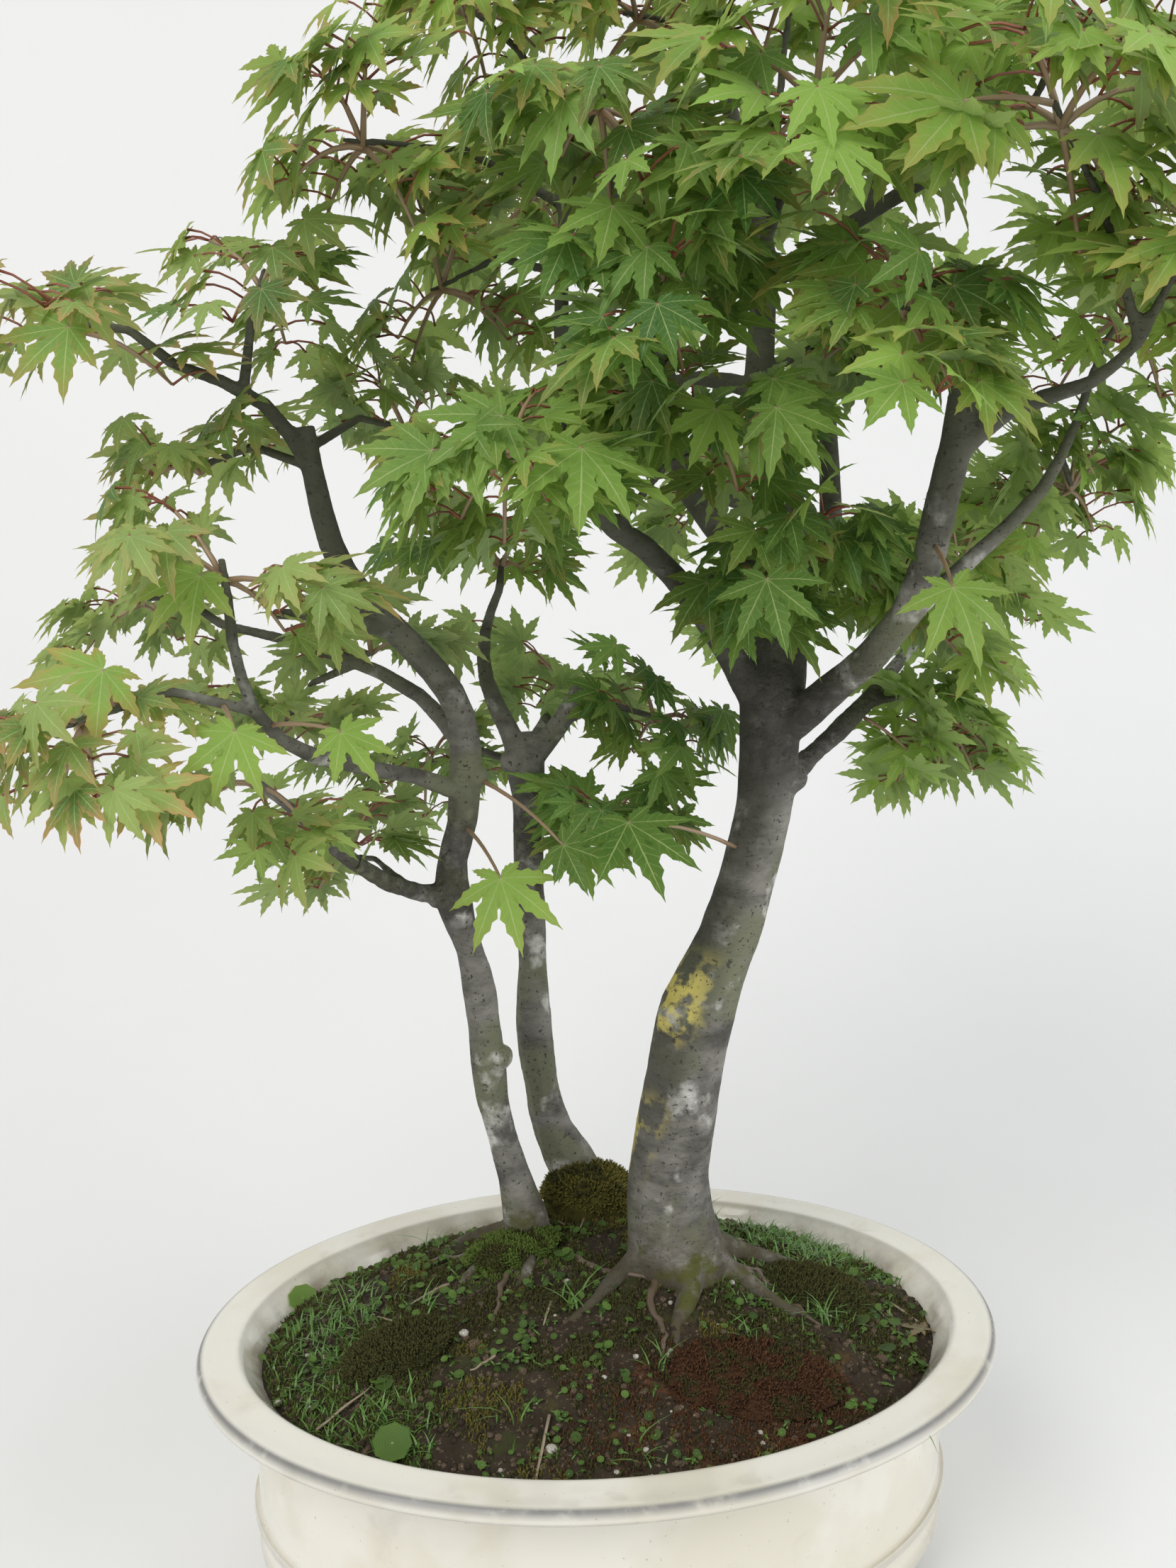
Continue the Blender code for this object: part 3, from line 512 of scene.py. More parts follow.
# %% Mesh builder
def mesh_object(name, points, faces, finishes):
    mesh = bpy.data.meshes.new(name)
    mesh.from_pydata(points, [], faces)
    for finish in finishes:
        mesh.materials.append(finish)
    mesh.shade_smooth()
    return placed(name, mesh)


class Gathered:
    """Points and faces from many small shapes, made into one mesh at the end."""

    def __init__(self):
        self.points, self.faces, self.finishes, self.numbers = [], [], [], []

    def put(self, points, faces, finish=0, numbers=None):
        first = len(self.points)
        self.points.extend(tuple(point) for point in points)
        self.faces.extend(tuple(first + i for i in face) for face in faces)
        self.finishes.extend([finish] * len(faces))
        self.numbers.extend(numbers if numbers is not None else [(0.0, 0.0, 0.5, 0.0)] * len(points))

    def tube(self, route, radii, sides, finish=0):
        rings = []
        for i, place in enumerate(route):
            ahead = route[min(i + 1, len(route) - 1)] - route[max(i - 1, 0)]
            across = ahead.cross(Vector((0.31, 0.17, 0.93))).normalized()
            other = ahead.cross(across).normalized()
            for k in range(sides):
                turn = math.tau * k / sides
                rings.append(place + (across * math.cos(turn) + other * math.sin(turn)) * radii[i])
        faces = []
        for i in range(len(route) - 1):
            for k in range(sides):
                a, b = i * sides + k, i * sides + (k + 1) % sides
                faces.append((a, b, b + sides, a + sides))
        faces.append(tuple(reversed(range(sides))))
        faces.append(tuple(range((len(route) - 1) * sides, len(route) * sides)))
        self.put(rings, faces, finish)

    def object(self, name, finishes):
        made = mesh_object(name, self.points, self.faces, finishes)
        mesh = made.data
        mesh.polygons.foreach_set("material_index", self.finishes)
        values = np.array(self.numbers, dtype=np.float32)
        for column, key in enumerate(("leaf_rib", "leaf_along", "leaf_tone_and_light", "leaf_warm")):
            layer = mesh.attributes.new(key, "FLOAT", "POINT")
            layer.data.foreach_set("value", values[:, column].copy())
        return made


def arc(start, end, lift, steps):
    """Points from start to end along a low arch."""
    route = []
    for step in range(steps + 1):
        part = step / steps
        route.append(start.lerp(end, part) + Vector((0, 0, lift * 4 * part * (1 - part))))
    return route


print("an arch of 4 steps has", len(arc(Vector(), UP, 0.1, 4)), "points")

# %% [markdown]
# ## How the clusters differ
#
# Leaves in the sun turn bronze at the tips. Each cluster has a tone, from deep 0 to light 1, which is partly
# painted light and shade: light for clusters in the sun, deep green for those inside the crown. It also has a
# warmth, from green 0 to bronze 1. A cluster that isn't listed has its tree's own.

# %% Tones
TREE_LOOK = {"main": (0.42, 0.12), "middle": (0.34, 0.14), "left": (0.46, 0.30)}
CLUSTER_LOOK_AND_LIGHT = {
    "main": {
        "far_left": (0.70, 0.62), "left_crown": (0.74, 0.68), "left_wing": (0.46, 0.32),
        "crown_left": (0.74, 0.56), "apex": (0.74, 0.46), "crown_front": (0.68, 0.36),
        "front_upper": (0.46, 0.28), "front_middle": (0.40, 0.06), "front_left": (0.50, 0.05),
        "front_lower": (0.30, 0.02), "low_front": (0.20, 0.02), "inner": (0.12, 0.02),
        "front_right": (0.68, 0.20), "right_near": (0.84, 0.34), "right_far_near": (0.78, 0.32),
        "right_crown": (0.70, 0.25), "right_top": (0.64, 0.22), "right_shelf": (0.70, 0.14),
        "right_low": (0.74, 0.06), "right_skirt": (0.86, 0.06), "right_hang": (0.50, 0.05),
        "tassel": (0.80, 0.08), "back_low": (0.92, 0.08), "back_right": (0.90, 0.08),
    },
    "middle": {"skirt": (0.28, 0.03), "right": (0.34, 0.05)},
    "left": {
        "top_tip": (0.46, 0.55), "low_tip": (0.66, 0.62), "shelf": (0.62, 0.35),
        "shoulder": (0.50, 0.50), "low": (0.66, 0.18), "hem": (0.45, 0.12), "heart": (0.30, 0.12),
        "inner": (0.34, 0.15),
    },
}
print("clusters with a look of their own:", sum(len(looks) for looks in CLUSTER_LOOK_AND_LIGHT.values()))

# %% [markdown]
# ## Leaf clusters
#
# Leaves sit in opposite pairs along fine twigs, each on a long red stalk. So each cluster grows as the
# tree does it: a few twigs fan out from the wood, pairs of stalks leave them to both sides, and each
# blade hangs from its stalk, turned outwards to the light. Scattering leaves at random fills the space
# faster, but nothing would hold them.

# %% One leaf on its stalk
STALK_RADIUS = 0.00065
PROUD = 0.024  # how far a leaf may stand outside the frame's box
low_corner, high_corner = (np.array(corner) for corner in cad_bounds)


def put_leaf(gathered, rng, foot, direction, size, tone, warm, normal):
    """Places one blade with its base at foot, and keeps it inside the model's room."""
    shape, faces, ribs, alongs = leaf_shapes[rng.randrange(len(leaf_shapes))]
    forward = (direction - normal * direction.dot(normal)).normalized()
    side = normal.cross(forward)
    axes = np.array([forward, side, normal]) * size
    points = shape @ axes + np.array(foot)
    points -= np.maximum(points.max(0) - (high_corner + PROUD), 0)
    points -= np.minimum(points.min(0) - (low_corner - PROUD), 0)
    numbers = [(rib, along, tone, warm) for rib, along in zip(ribs, alongs)]
    gathered.put(points, faces, 0, numbers)
    return Vector(points[0])


def stalk_and_leaf(gathered, rng, node, direction, length, size, tone, warm, normal):
    tip = node + direction * length + Vector((0, 0, 0.2 * length))
    blade_way = (direction + Vector((0, 0, -rng.uniform(0.1, 1.1)))).normalized()
    foot = put_leaf(gathered, rng, tip, blade_way, size, tone, warm, normal)
    route = arc(node, foot, length * 0.12, 3)
    gathered.tube(route, [STALK_RADIUS * 1.2, STALK_RADIUS, STALK_RADIUS, STALK_RADIUS * 1.3], 3, 1)


print("leaves may stand proud by", PROUD)


# %% One cluster
TWIG_RADIUS = 0.0013
TWIGS = {"main": 7, "middle": 6, "left": 4}
FULL_CLUSTERS = ("right_low", "right_skirt", "back_low", "tassel", "right_hang")
MORE_TWIGS = 3  # that a full cluster has
LEAF_SIZES = {"main": (0.025, 0.037), "middle": (0.024, 0.036), "left": (0.022, 0.033)}
LEVELS = (-1.5, 1.6)  # how far the twig ends rise and fall, in half heights of the cluster
MISSING = 0.16  # the share of leaves that have fallen
CROWN_AXIS = {"main": (0.08, -0.01), "middle": (-0.02, 0.12), "left": (-0.13, -0.01)}
TONE_SPREAD, WARMTH_SPREAD = 0.24, 0.22


def clamp(value):
    return min(1.0, max(0.0, value))


def leaf_normal(rng, outward, direction):
    """Up towards the light, tipped outwards by a different amount for each leaf."""
    tip = rng.uniform(0.15, 1.25)
    wobble = Vector((rng.gauss(0, 0.32), rng.gauss(0, 0.32), rng.gauss(0, 0.15)))
    return (Vector((0, 0, 0.75)) + outward * tip + direction * 0.2 + wobble).normalized()


def grow_cluster(node, rng):
    tree, part = node.split("_leaves_")
    low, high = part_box(node)
    centre, half = (low + high) / 2, (high - low) / 2
    gathered = Gathered()
    axis = CROWN_AXIS[tree]
    outward = Vector((centre.x - axis[0], centre.y - axis[1], 0))
    outward = outward.normalized() if outward.length > 0.03 else Vector((0, -1, 0))
    start_turn = rng.uniform(0, math.tau)
    # The cluster's tone is partly painted light and shade: light in the sun, deep inside the crown.
    base_tone_and_light, base_warm = CLUSTER_LOOK_AND_LIGHT[tree].get(part, TREE_LOOK[tree])
    twigs = TWIGS[tree] + (MORE_TWIGS if node.endswith(FULL_CLUSTERS) else 0)
    for twig in range(twigs):
        turn = start_turn + math.tau * (twig + rng.uniform(-0.3, 0.3)) / twigs
        way = Vector((math.cos(turn), math.sin(turn), 0))
        reach = rng.uniform(0.40, 0.86)
        rise = half.z * rng.uniform(*LEVELS)
        end = centre + Vector((way.x * half.x * reach, way.y * half.y * reach, rise))
        route = arc(centre, end, half.z * 0.2, 5)
        gathered.tube(route, [TWIG_RADIUS * (1.25 - 0.13 * i) for i in range(6)], 5, 2)
        for place in (2, 3, 4, 5):
            for hand in (-1, 1, 0) if place == 5 else (-1, 1):
                if rng.random() < MISSING:
                    continue
                across = way.cross(UP) * hand
                direction = (way * rng.uniform(0.5, 1.0) + across * rng.uniform(0.6, 1.1)).normalized()
                direction.z = rng.uniform(-0.35, 0.3)
                length = rng.uniform(0.008, 0.026)
                tone = clamp(base_tone_and_light + rng.gauss(0, TONE_SPREAD))
                warm = clamp(base_warm + rng.gauss(0, WARMTH_SPREAD))
                normal = leaf_normal(rng, outward, direction)
                size = rng.uniform(*LEAF_SIZES[tree])
                stalk_and_leaf(gathered, rng, route[place], direction, length, size, tone, warm, normal)
    finishes = [leaf_finishes[tree], red_stalk, twig_skin]
    cluster = gathered.object(node.replace("_leaves_", "_foliage_"), finishes)
    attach(cluster, "root")
    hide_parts(node)
    return len(gathered.faces)


# %% [markdown]
# ## Leaves that stand alone
#
# The eye stops at a few leaves that hang free in front of the crown. Chance doesn't put them where they
# are wanted, so each has its own place, size, tone, warmth and slant, and a stalk to the nearest wood.

# %% Single leaves
# The tone of each leaf is partly painted light and shade: deep for leaves in shade, light for sunlit ones.
SINGLE_LEAVES = [  # base of the blade, direction of its tip, size, tone, warmth
    ((-0.023, -0.196, 0.622), (-0.15, -0.35, -1.0), 0.046, 0.55, 0.05),
    ((-0.055, -0.190, 0.636), (-0.9, -0.30, -0.5), 0.040, 0.50, 0.05),
    ((0.012, -0.066, 0.452), (0.2, -0.30, -1.0), 0.050, 0.12, 0.02),
    ((-0.056, -0.062, 0.424), (0.25, -0.55, -1.0), 0.044, 0.85, 0.18),
    ((-0.022, -0.058, 0.440), (0.9, -0.30, -0.4), 0.036, 0.15, 0.02),
    ((0.118, -0.196, 0.684), (-0.3, -0.40, -0.9), 0.044, 0.72, 0.15),
    ((0.146, -0.170, 0.566), (0.2, -0.40, -0.9), 0.042, 0.66, 0.12),
    ((0.066, -0.150, 0.572), (0.1, -0.50, -1.0), 0.040, 0.20, 0.02),
    ((-0.235, -0.152, 0.680), (-0.8, -0.30, -0.8), 0.036, 0.50, 0.55),
    ((-0.226, -0.160, 0.536), (-0.8, -0.30, -0.9), 0.042, 0.75, 0.75),
    ((-0.174, -0.150, 0.508), (-0.2, -0.50, -0.8), 0.036, 0.80, 0.20),
    ((-0.186, -0.150, 0.576), (-0.7, -0.40, -0.6), 0.038, 0.70, 0.30),
    ((-0.130, -0.130, 0.506), (0.6, -0.50, -0.7), 0.030, 0.80, 0.15),
    ((-0.084, -0.190, 0.622), (-0.9, -0.30, -0.4), 0.038, 0.45, 0.10),
    ((0.110, -0.262, 0.732), (-1.0, -0.20, -0.2), 0.050, 0.85, 0.45),
    ((0.161, -0.262, 0.722), (0.6, -0.40, -0.7), 0.048, 0.95, 0.40),
    ((0.203, 0.034, 0.480), (0.0, -0.40, -1.0), 0.032, 0.85, 0.05),
    ((0.228, 0.030, 0.520), (0.7, -0.40, -0.6), 0.034, 0.25, 0.03),
    ((-0.008, -0.190, 0.720), (-0.2, -0.50, -0.8), 0.036, 0.60, 0.10),
    ((0.060, -0.190, 0.640), (0.5, -0.50, -0.8), 0.036, 0.45, 0.05),
]
SINGLE_STALK = 0.0009


def nearest_wood(place):
    """The point of the trees' bark that is nearest to this place."""
    found = [wood.closest_point_on_mesh(place)[1] for wood in woods]
    return min(found, key=lambda point: (point - place).length)


def single_leaves():
    rng = random.Random(8)
    gathered = Gathered()
    for place, direction, size, tone, warm in SINGLE_LEAVES:
        direction = Vector(direction).normalized()
        normal = (Vector((0, -0.9, 0.5)) + Vector((rng.gauss(0, 0.18), 0, rng.gauss(0, 0.12)))).normalized()
        foot = put_leaf(gathered, rng, Vector(place), direction, size, tone, warm, normal)
        root = nearest_wood(foot)
        lift = 0.05 * (foot - root).length
        gathered.tube(arc(root, foot, lift, 6), [SINGLE_STALK * (1.5 - 0.1 * i) for i in range(7)], 5, 1)
    leaves = gathered.object("single_leaves", [leaf_finishes["main"], twig_skin])
    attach(leaves, "root")


single_leaves()
print("single leaves:", len(SINGLE_LEAVES))

# %% Grow all clusters
growth = random.Random(5)
leaf_nodes = [node for node in sorted(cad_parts) if "_leaves_" in node]
leaf_faces = sum(grow_cluster(node, growth) for node in leaf_nodes)
print("faces in all leaf clusters:", leaf_faces)

# %% [markdown]
# ## The glazed pot
#
# The pot is thrown oval, with a wide flat lip and two belt beads. The frame's pot is right in size but
# has flat facets, so a finer one replaces it: a smooth curve through the same section, swept round an
# oval of many more steps. The wall is a hair uneven, as fired clay is.

# %% Glaze
def glaze_material():
    material, shader, at = new_material("cream_glaze")
    colour = blend(mask(patches, at, 9, 0.52), (0.79, 0.76, 0.68), (0.73, 0.69, 0.58))
    dust = mask(patches, at, 38, 0.42)
    colour = blend(dust * 0.30, colour, (0.56, 0.53, 0.46))
    broken = attribute(at, "wear") * threshold(fine_noise(at, 60), 0.10, 0.50)
    colour = blend(broken, colour, (0.20, 0.195, 0.185))
    pinholes = mask(speckles, at, 420, 0.30)
    colour = blend(pinholes * 0.6, colour, (0.30, 0.26, 0.20))
    stain = attribute(at, "soil_line") * threshold(fine_noise(at, 34), 0.35, 0.7)
    colour = blend(stain * 0.75, colour, (0.22, 0.17, 0.11))
    height = fine_noise(at, 22, 2.0) * 0.6 - pinholes
    wire_up(shader, colour, threshold(dust + broken, -0.55, 2.2), height, 0.25, 0.0008)
    shader.inputs["Coat Weight"].default_value = 0.25
    shader.inputs["Coat Roughness"].default_value = 0.12
    return material


cream_glaze = glaze_material()
print("glaze:", cream_glaze.name)

# %% Pot section
FOOT_HEIGHT = 0.012
pot_high = Vector(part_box("pot")[1])
half_length, half_width = pot_high.x, pot_high.y
# The section as (height, distance inside the lip's edge, wear, soil line)
POT_SECTION = [
    (0.0210, 0.0600, 0, 1), (0.0270, 0.0470, 0, 1), (0.0600, 0.0405, 0, 1), (0.1240, 0.0390, 0, 1),
    (0.1380, 0.0335, 0, 1), (0.1460, 0.0275, 0, 0.5), (0.1492, 0.0245, 0.3, 0.2), (0.1500, 0.0215, 0, 0),
    (0.1496, 0.0120, 0, 0), (0.1500, 0.0045, 0, 0), (0.1494, 0.0020, 1, 0), (0.1470, 0.0003, 0.5, 0),
    (0.1450, 0.0000, 0.1, 0), (0.1425, 0.0010, 0.5, 0), (0.1405, 0.0060, 0.1, 0), (0.1380, 0.0240, 0, 0),
    (0.1320, 0.0300, 0, 0), (0.1000, 0.0310, 0, 0), (0.0640, 0.0315, 0, 0), (0.0610, 0.0290, 0.25, 0),
    (0.0585, 0.0285, 0.35, 0), (0.0560, 0.0290, 0.2, 0), (0.0530, 0.0325, 0, 0), (0.0430, 0.0335, 0, 0),
    (0.0400, 0.0315, 0.25, 0), (0.0375, 0.0310, 0.35, 0), (0.0350, 0.0320, 0.2, 0),
    (0.0320, 0.0360, 0, 0), (0.0200, 0.0410, 0, 0), (FOOT_HEIGHT, 0.0500, 0.5, 0),
]


def through(section, steps):
    """A smooth curve through the section's points, with this many steps between two of them."""
    rows = np.array(section)
    ends = np.vstack([rows[:1], rows, rows[-1:]])
    found = []
    for i in range(1, len(ends) - 2):
        before, first, second, after = ends[i - 1 : i + 3]
        for step in range(steps):
            t = step / steps
            curve = first + 0.5 * t * (second - before)
            curve += t * t * (before - 2.5 * first + 2 * second - 0.5 * after)
            curve += t**3 * (1.5 * (first - second) + 0.5 * (after - before))
            found.append(curve)
    return found + [rows[-1]]


print("oval:", round(2 * half_length, 3), "by", round(2 * half_width, 3))

# %% Pot shape
POT_TURNS = 192
UNEVEN = 0.0006
SHARP = math.radians(60)


def ring_of(shell, layers, height, inset, marks):
    """One oval ring of the pot's skin, with its wear and its soil line."""
    ring = []
    for i in range(POT_TURNS):
        turn = math.tau * i / POT_TURNS
        x = (half_length - inset) * math.cos(turn)
        y = (half_width - inset) * math.sin(turn)
        uneven = UNEVEN * noise.noise(Vector((x * 9, y * 9, height * 14)))
        vert = shell.verts.new((x * (1 + uneven / 0.2), y * (1 + uneven / 0.2), height + 0.5 * uneven))
        for layer, amount in zip(layers, marks):
            vert[layer] = clamp(amount)
        ring.append(vert)
    return ring


def mesh_from(name, shell):
    mesh = bpy.data.meshes.new(name)
    shell.to_mesh(mesh)
    shell.free()
    return mesh


def swept_pot():
    shell = bmesh.new()
    layers = [shell.verts.layers.float.new(name) for name in ("wear", "soil_line")]
    section = through(POT_SECTION, 3)
    rings = [ring_of(shell, layers, height, inset, marks) for height, inset, *marks in section]
    for lower, upper in zip(rings, rings[1:]):
        for i in range(POT_TURNS):
            j = (i + 1) % POT_TURNS
            shell.faces.new((lower[i], lower[j], upper[j], upper[i]))
    shell.faces.new(rings[0][::-1])
    shell.faces.new(rings[-1])
    bmesh.ops.recalc_face_normals(shell, faces=shell.faces)
    mesh = mesh_from("glazed_pot", shell)
    mesh.shade_smooth()
    mesh.set_sharp_from_angle(angle=SHARP)
    mesh.materials.append(cream_glaze)
    return placed("glazed_pot", mesh)


pot = swept_pot()
print("faces swept:", len(pot.data.polygons))

# %% Feet and drain holes
FOOT_ANGLES = (42, 138, 222, 318)
FOOT_INSET = 0.072
FOOT_BLOCK = (0.058, 0.024, FOOT_HEIGHT + 0.004)
DRAIN_RADIUS = 0.014
DRAIN_PLACE = 0.080


def cut_or_join(shell, name, operation):
    tool = placed(name, mesh_from(name, shell))
    modifier = pot.modifiers.new(name, "BOOLEAN")
    modifier.operation = operation
    modifier.object = tool
    applied(pot)
    bpy.data.objects.remove(tool, do_unlink=True)


def add_foot(around):
    length, width = half_length - FOOT_INSET, half_width - FOOT_INSET
    turn = math.atan2(width * math.cos(around), -length * math.sin(around))
    place = Vector((length * math.cos(around), width * math.sin(around), FOOT_BLOCK[2] / 2))
    shell = bmesh.new()
    bmesh.ops.create_cube(shell, size=1.0, matrix=Matrix.Diagonal((*FOOT_BLOCK, 1.0)))
    bmesh.ops.bevel(shell, geom=shell.edges[:], offset=0.003, segments=4, profile=0.5, affect="EDGES")
    where = Matrix.Translation(place) @ Matrix.Rotation(turn, 4, "Z")
    bmesh.ops.transform(shell, matrix=where, verts=shell.verts)
    cut_or_join(shell, "foot", "UNION")


def drill(x):
    shell = bmesh.new()
    bmesh.ops.create_cone(
        shell, cap_ends=True, segments=48, radius1=DRAIN_RADIUS, radius2=DRAIN_RADIUS, depth=0.05,
        matrix=Matrix.Translation((x, 0, 0.017)),
    )
    cut_or_join(shell, "drill", "DIFFERENCE")


for angle in FOOT_ANGLES:
    add_foot(math.radians(angle))
for side in (-1, 1):
    drill(side * DRAIN_PLACE)
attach(pot, "root")
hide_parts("pot")
print("pot faces:", len(pot.data.polygons))

# %% [markdown]# ## Soil
#
# The mound is dark, crumbly and damp. A displaced surface alone looks like cloth, so loose grains of
# several sizes lie on it too, thickest near the lip, where they roll down.

# %% Ground finish
def ground_material(name, dark, light, scale, growth=0.0):
    """Crumbly ground; growth is how much of it a thin film of moss covers, red-brown at the front."""
    material, shader, at = new_material(name)
    crumb = tuple(min(1, 2.2 * c) for c in light)
    colour = blend(fine_noise(at, scale), dark, light)
    colour = blend(mask(speckles, at, scale * 4, 0.40), colour, crumb)
    front = threshold(along_axis(at, "Y"), -0.055, -0.100) * threshold(along_axis(at, "X"), -0.060, 0.015)
    film = blend(front, (0.042, 0.048, 0.016), (0.120, 0.047, 0.022))
    colour = blend(mask(patches, at, 55, 0.46) * growth, colour, film)
    wire_up(shader, colour, 0.92, fine_noise(at, scale * 3), 0.8, 0.0015, 0.2)
    return material


dark_soil = ground_material("dark_soil", (0.012, 0.009, 0.006), (0.062, 0.046, 0.030), 90, 0.75)
clay_grain = ground_material("clay_grain", (0.055, 0.038, 0.024), (0.15, 0.11, 0.075), 300)
pale_grit = ground_material("pale_grit", (0.34, 0.31, 0.26), (0.58, 0.55, 0.48), 300)

print("grounds:", dark_soil.name, clay_grain.name, pale_grit.name)

# %% Soil
SOIL_EDGE = 0.1355
SOIL_RISE = 0.044
SOIL_INSET = 0.0345
FOOT_SPREAD = 0.04
RIPPLE = 0.0022
COARSE_CRUMB, FINE_CRUMB = 0.0026, 0.0016
SOIL_RINGS, SOIL_TURNS = 90, 240
SOIL_FLOOR = 0.110
TREE_FEET = [(0.045, -0.010, 0.006), (0.000, 0.085, 0.012), (-0.042, 0.030, 0.006)]


def mound_height(x, y):
    out = min(1.0, math.hypot(x / (half_length - SOIL_INSET), y / (half_width - SOIL_INSET)))
    height = SOIL_EDGE + SOIL_RISE * (1 - out**2.2)
    for foot_x, foot_y, rise in TREE_FEET:
        away = math.hypot(x - foot_x, y - foot_y)
        height += rise * math.exp(-((away / FOOT_SPREAD) ** 2))
    return height + RIPPLE * noise.noise(Vector((x * 28, y * 28, 3.7))) * (1 - out**8)


def crumbs(x, y):
    """Small lumps that a plain mound lacks."""
    coarse = noise.noise(Vector((x * 60, y * 60, 0.4)))
    fine = noise.noise(Vector((x * 240, y * 240, 7.1)))
    return COARSE_CRUMB * coarse + FINE_CRUMB * fine


def fan(turns):
    """Triangles from point 0 to the first ring round it."""
    return [(0, 1 + k, 1 + (k + 1) % turns) for k in range(turns)]


def band(ring, turns):
    """Quads from this ring to the next one out."""
    first = 1 + ring * turns
    steps = [(first + k, first + (k + 1) % turns) for k in range(turns)]
    return [(a, turns + a, turns + b, b) for a, b in steps]


def make_soil():
    turns = SOIL_TURNS
    points = [(0, 0, mound_height(0, 0))]
    for ring in range(1, SOIL_RINGS + 1):
        share = ring / SOIL_RINGS
        for i in range(turns):
            turn = math.tau * i / turns
            x = share * (half_length - SOIL_INSET) * math.cos(turn)
            y = share * (half_width - SOIL_INSET) * math.sin(turn)
            points.append((x, y, mound_height(x, y) + crumbs(x, y)))
    for i in range(turns):
        points.append((points[-turns][0] * 0.97, points[-turns][1] * 0.97, SOIL_FLOOR))
    faces = fan(turns)
    for ring in range(SOIL_RINGS):
        faces += band(ring, turns)
    faces.append(tuple(1 + SOIL_RINGS * turns + i for i in reversed(range(turns))))
    soil = mesh_object("soil_surface", points, faces, [dark_soil])
    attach(soil, "root")
    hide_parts("soil_mound")
    print("soil faces:", len(faces))


make_soil()

# %% Grains
GRAINS = 2600


def ball(detail):
    shell = bmesh.new()
    bmesh.ops.create_icosphere(shell, subdivisions=detail, radius=1.0)
    points = [vert.co.copy() for vert in shell.verts]
    faces = [tuple(vert.index for vert in face.verts) for face in shell.faces]
    shell.free()
    return points, faces


ball_points, ball_faces = ball(1)


def on_mound(rng, near_edge=1.0):
    """A random place on the mound; near_edge above 1 favours the rim."""
    share = rng.random() ** (0.5 / near_edge)
    turn = rng.uniform(0, math.tau)
    x = share * (half_length - SOIL_INSET - 0.003) * math.cos(turn)
    y = share * (half_width - SOIL_INSET - 0.003) * math.sin(turn)
    return x, y, mound_height(x, y) + crumbs(x, y)


def scatter_grains():
    rng = random.Random(21)
    gathered = Gathered()
    for _ in range(GRAINS):
        x, y, z = on_mound(rng, 1.4)
        size = rng.uniform(0.0008, 0.0026)
        squash = rng.uniform(0.5, 0.9)
        points = []
        for point in ball_points:
            rough = 1 + 0.35 * noise.noise(point * 1.3 + Vector((x * 900, y * 900, 0)))
            wide = size * rough
            points.append((x + point.x * wide, y + point.y * wide, z + point.z * size * squash))
        finish = 0 if rng.random() < 0.55 else 1 if rng.random() < 0.94 else 2
        gathered.put(points, ball_faces, finish)
    grains = gathered.object("soil_grains", [dark_soil, clay_grain, pale_grit])
    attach(grains, "root")
    print("grain faces:", len(gathered.faces))


scatter_grains()

# %% [markdown]
# ## Moss
#
# Moss is a crowd of tiny leafy shoots. A bumpy green lump reads as felt, so each cushion gets a lumpy
# core for its mass and thousands of short pointed shoots on it and round its edge. Thinner moss creeps
# over most of the mound in patches: red-brown at the front, green at the sides and olive elsewhere.

# %% Moss finish
def moss_material(name, dark, light, tip):
    material, shader, at = new_material(name)
    colour = blend(fine_noise(at, 120), dark, light)
    colour = blend(threshold(attribute(at, "leaf_along"), 0.4, 1.0), colour, tip)
    wire_up(shader, colour, 0.95, fine_noise(at, 500), 0.8, 0.001, 0.15)
    return material


gold_moss = moss_material("gold_moss", (0.032, 0.034, 0.010), (0.120, 0.108, 0.024), (0.29, 0.24, 0.060))
green_moss = moss_material("green_moss", (0.030, 0.050, 0.010), (0.100, 0.145, 0.028), (0.21, 0.29, 0.065))
brown_moss = moss_material("brown_moss", (0.026, 0.014, 0.008), (0.090, 0.042, 0.020), (0.21, 0.095, 0.044))
olive_moss = moss_material("olive_moss", (0.016, 0.017, 0.007), (0.060, 0.058, 0.020), (0.135, 0.130, 0.040))
print("mosses:", gold_moss.name, green_moss.name, brown_moss.name, olive_moss.name)


# %% Zones and shoots
ZONES = {  # centre x, centre y, half length, half width on the mound
    "brown": [(0.055, -0.112, 0.095, 0.036)],
    "green": [(-0.158, -0.045, 0.042, 0.085), (-0.120, -0.100, 0.030, 0.030), (0.140, 0.050, 0.060, 0.060),
              (0.112, -0.030, 0.050, 0.030)],
}


def zone_share(kind, x, y):
    """1 in the middle of a zone of this kind, 0 outside, with a ragged edge."""
    ragged = 0.35 * noise.noise(Vector((x * 55, y * 55, 4.2)))
    nearest = min(math.hypot((x - cx) / hx, (y - cy) / hy) for cx, cy, hx, hy in ZONES[kind])
    return clamp(1.5 - 1.2 * (nearest + ragged))


def mixed_in(place):
    """1 where another moss has grown into a cushion, 0 elsewhere."""
    return 1 if noise.noise(place * 90) > 0.12 else 0


def shoot(gathered, rng, place, normal, size, finish):
    """A short three-sided spike, leaning a little."""
    lean = Vector((rng.gauss(0, 0.4), rng.gauss(0, 0.4), rng.gauss(0, 0.2)))
    way = (normal + lean).normalized()
    across = way.cross(Vector((0.2, 0.9, 0.3))).normalized()
    other = way.cross(across)
    wide = size * 0.30
    points = []
    for k in range(3):
        turn = math.tau * k / 3
        points.append(place + (across * math.cos(turn) + other * math.sin(turn)) * wide)
    points.append(place + way * size)
    numbers = [(0, 0.0, 0.5, 0)] * 3 + [(0, 1.0, 0.5, 0)]
    gathered.put(points, [(0, 1, 3), (1, 2, 3), (2, 0, 3)], finish, numbers)


print("zones:", sorted(ZONES))


# %% Cushions
SHOOTS = 2200  # on a cushion, and as many round its edge


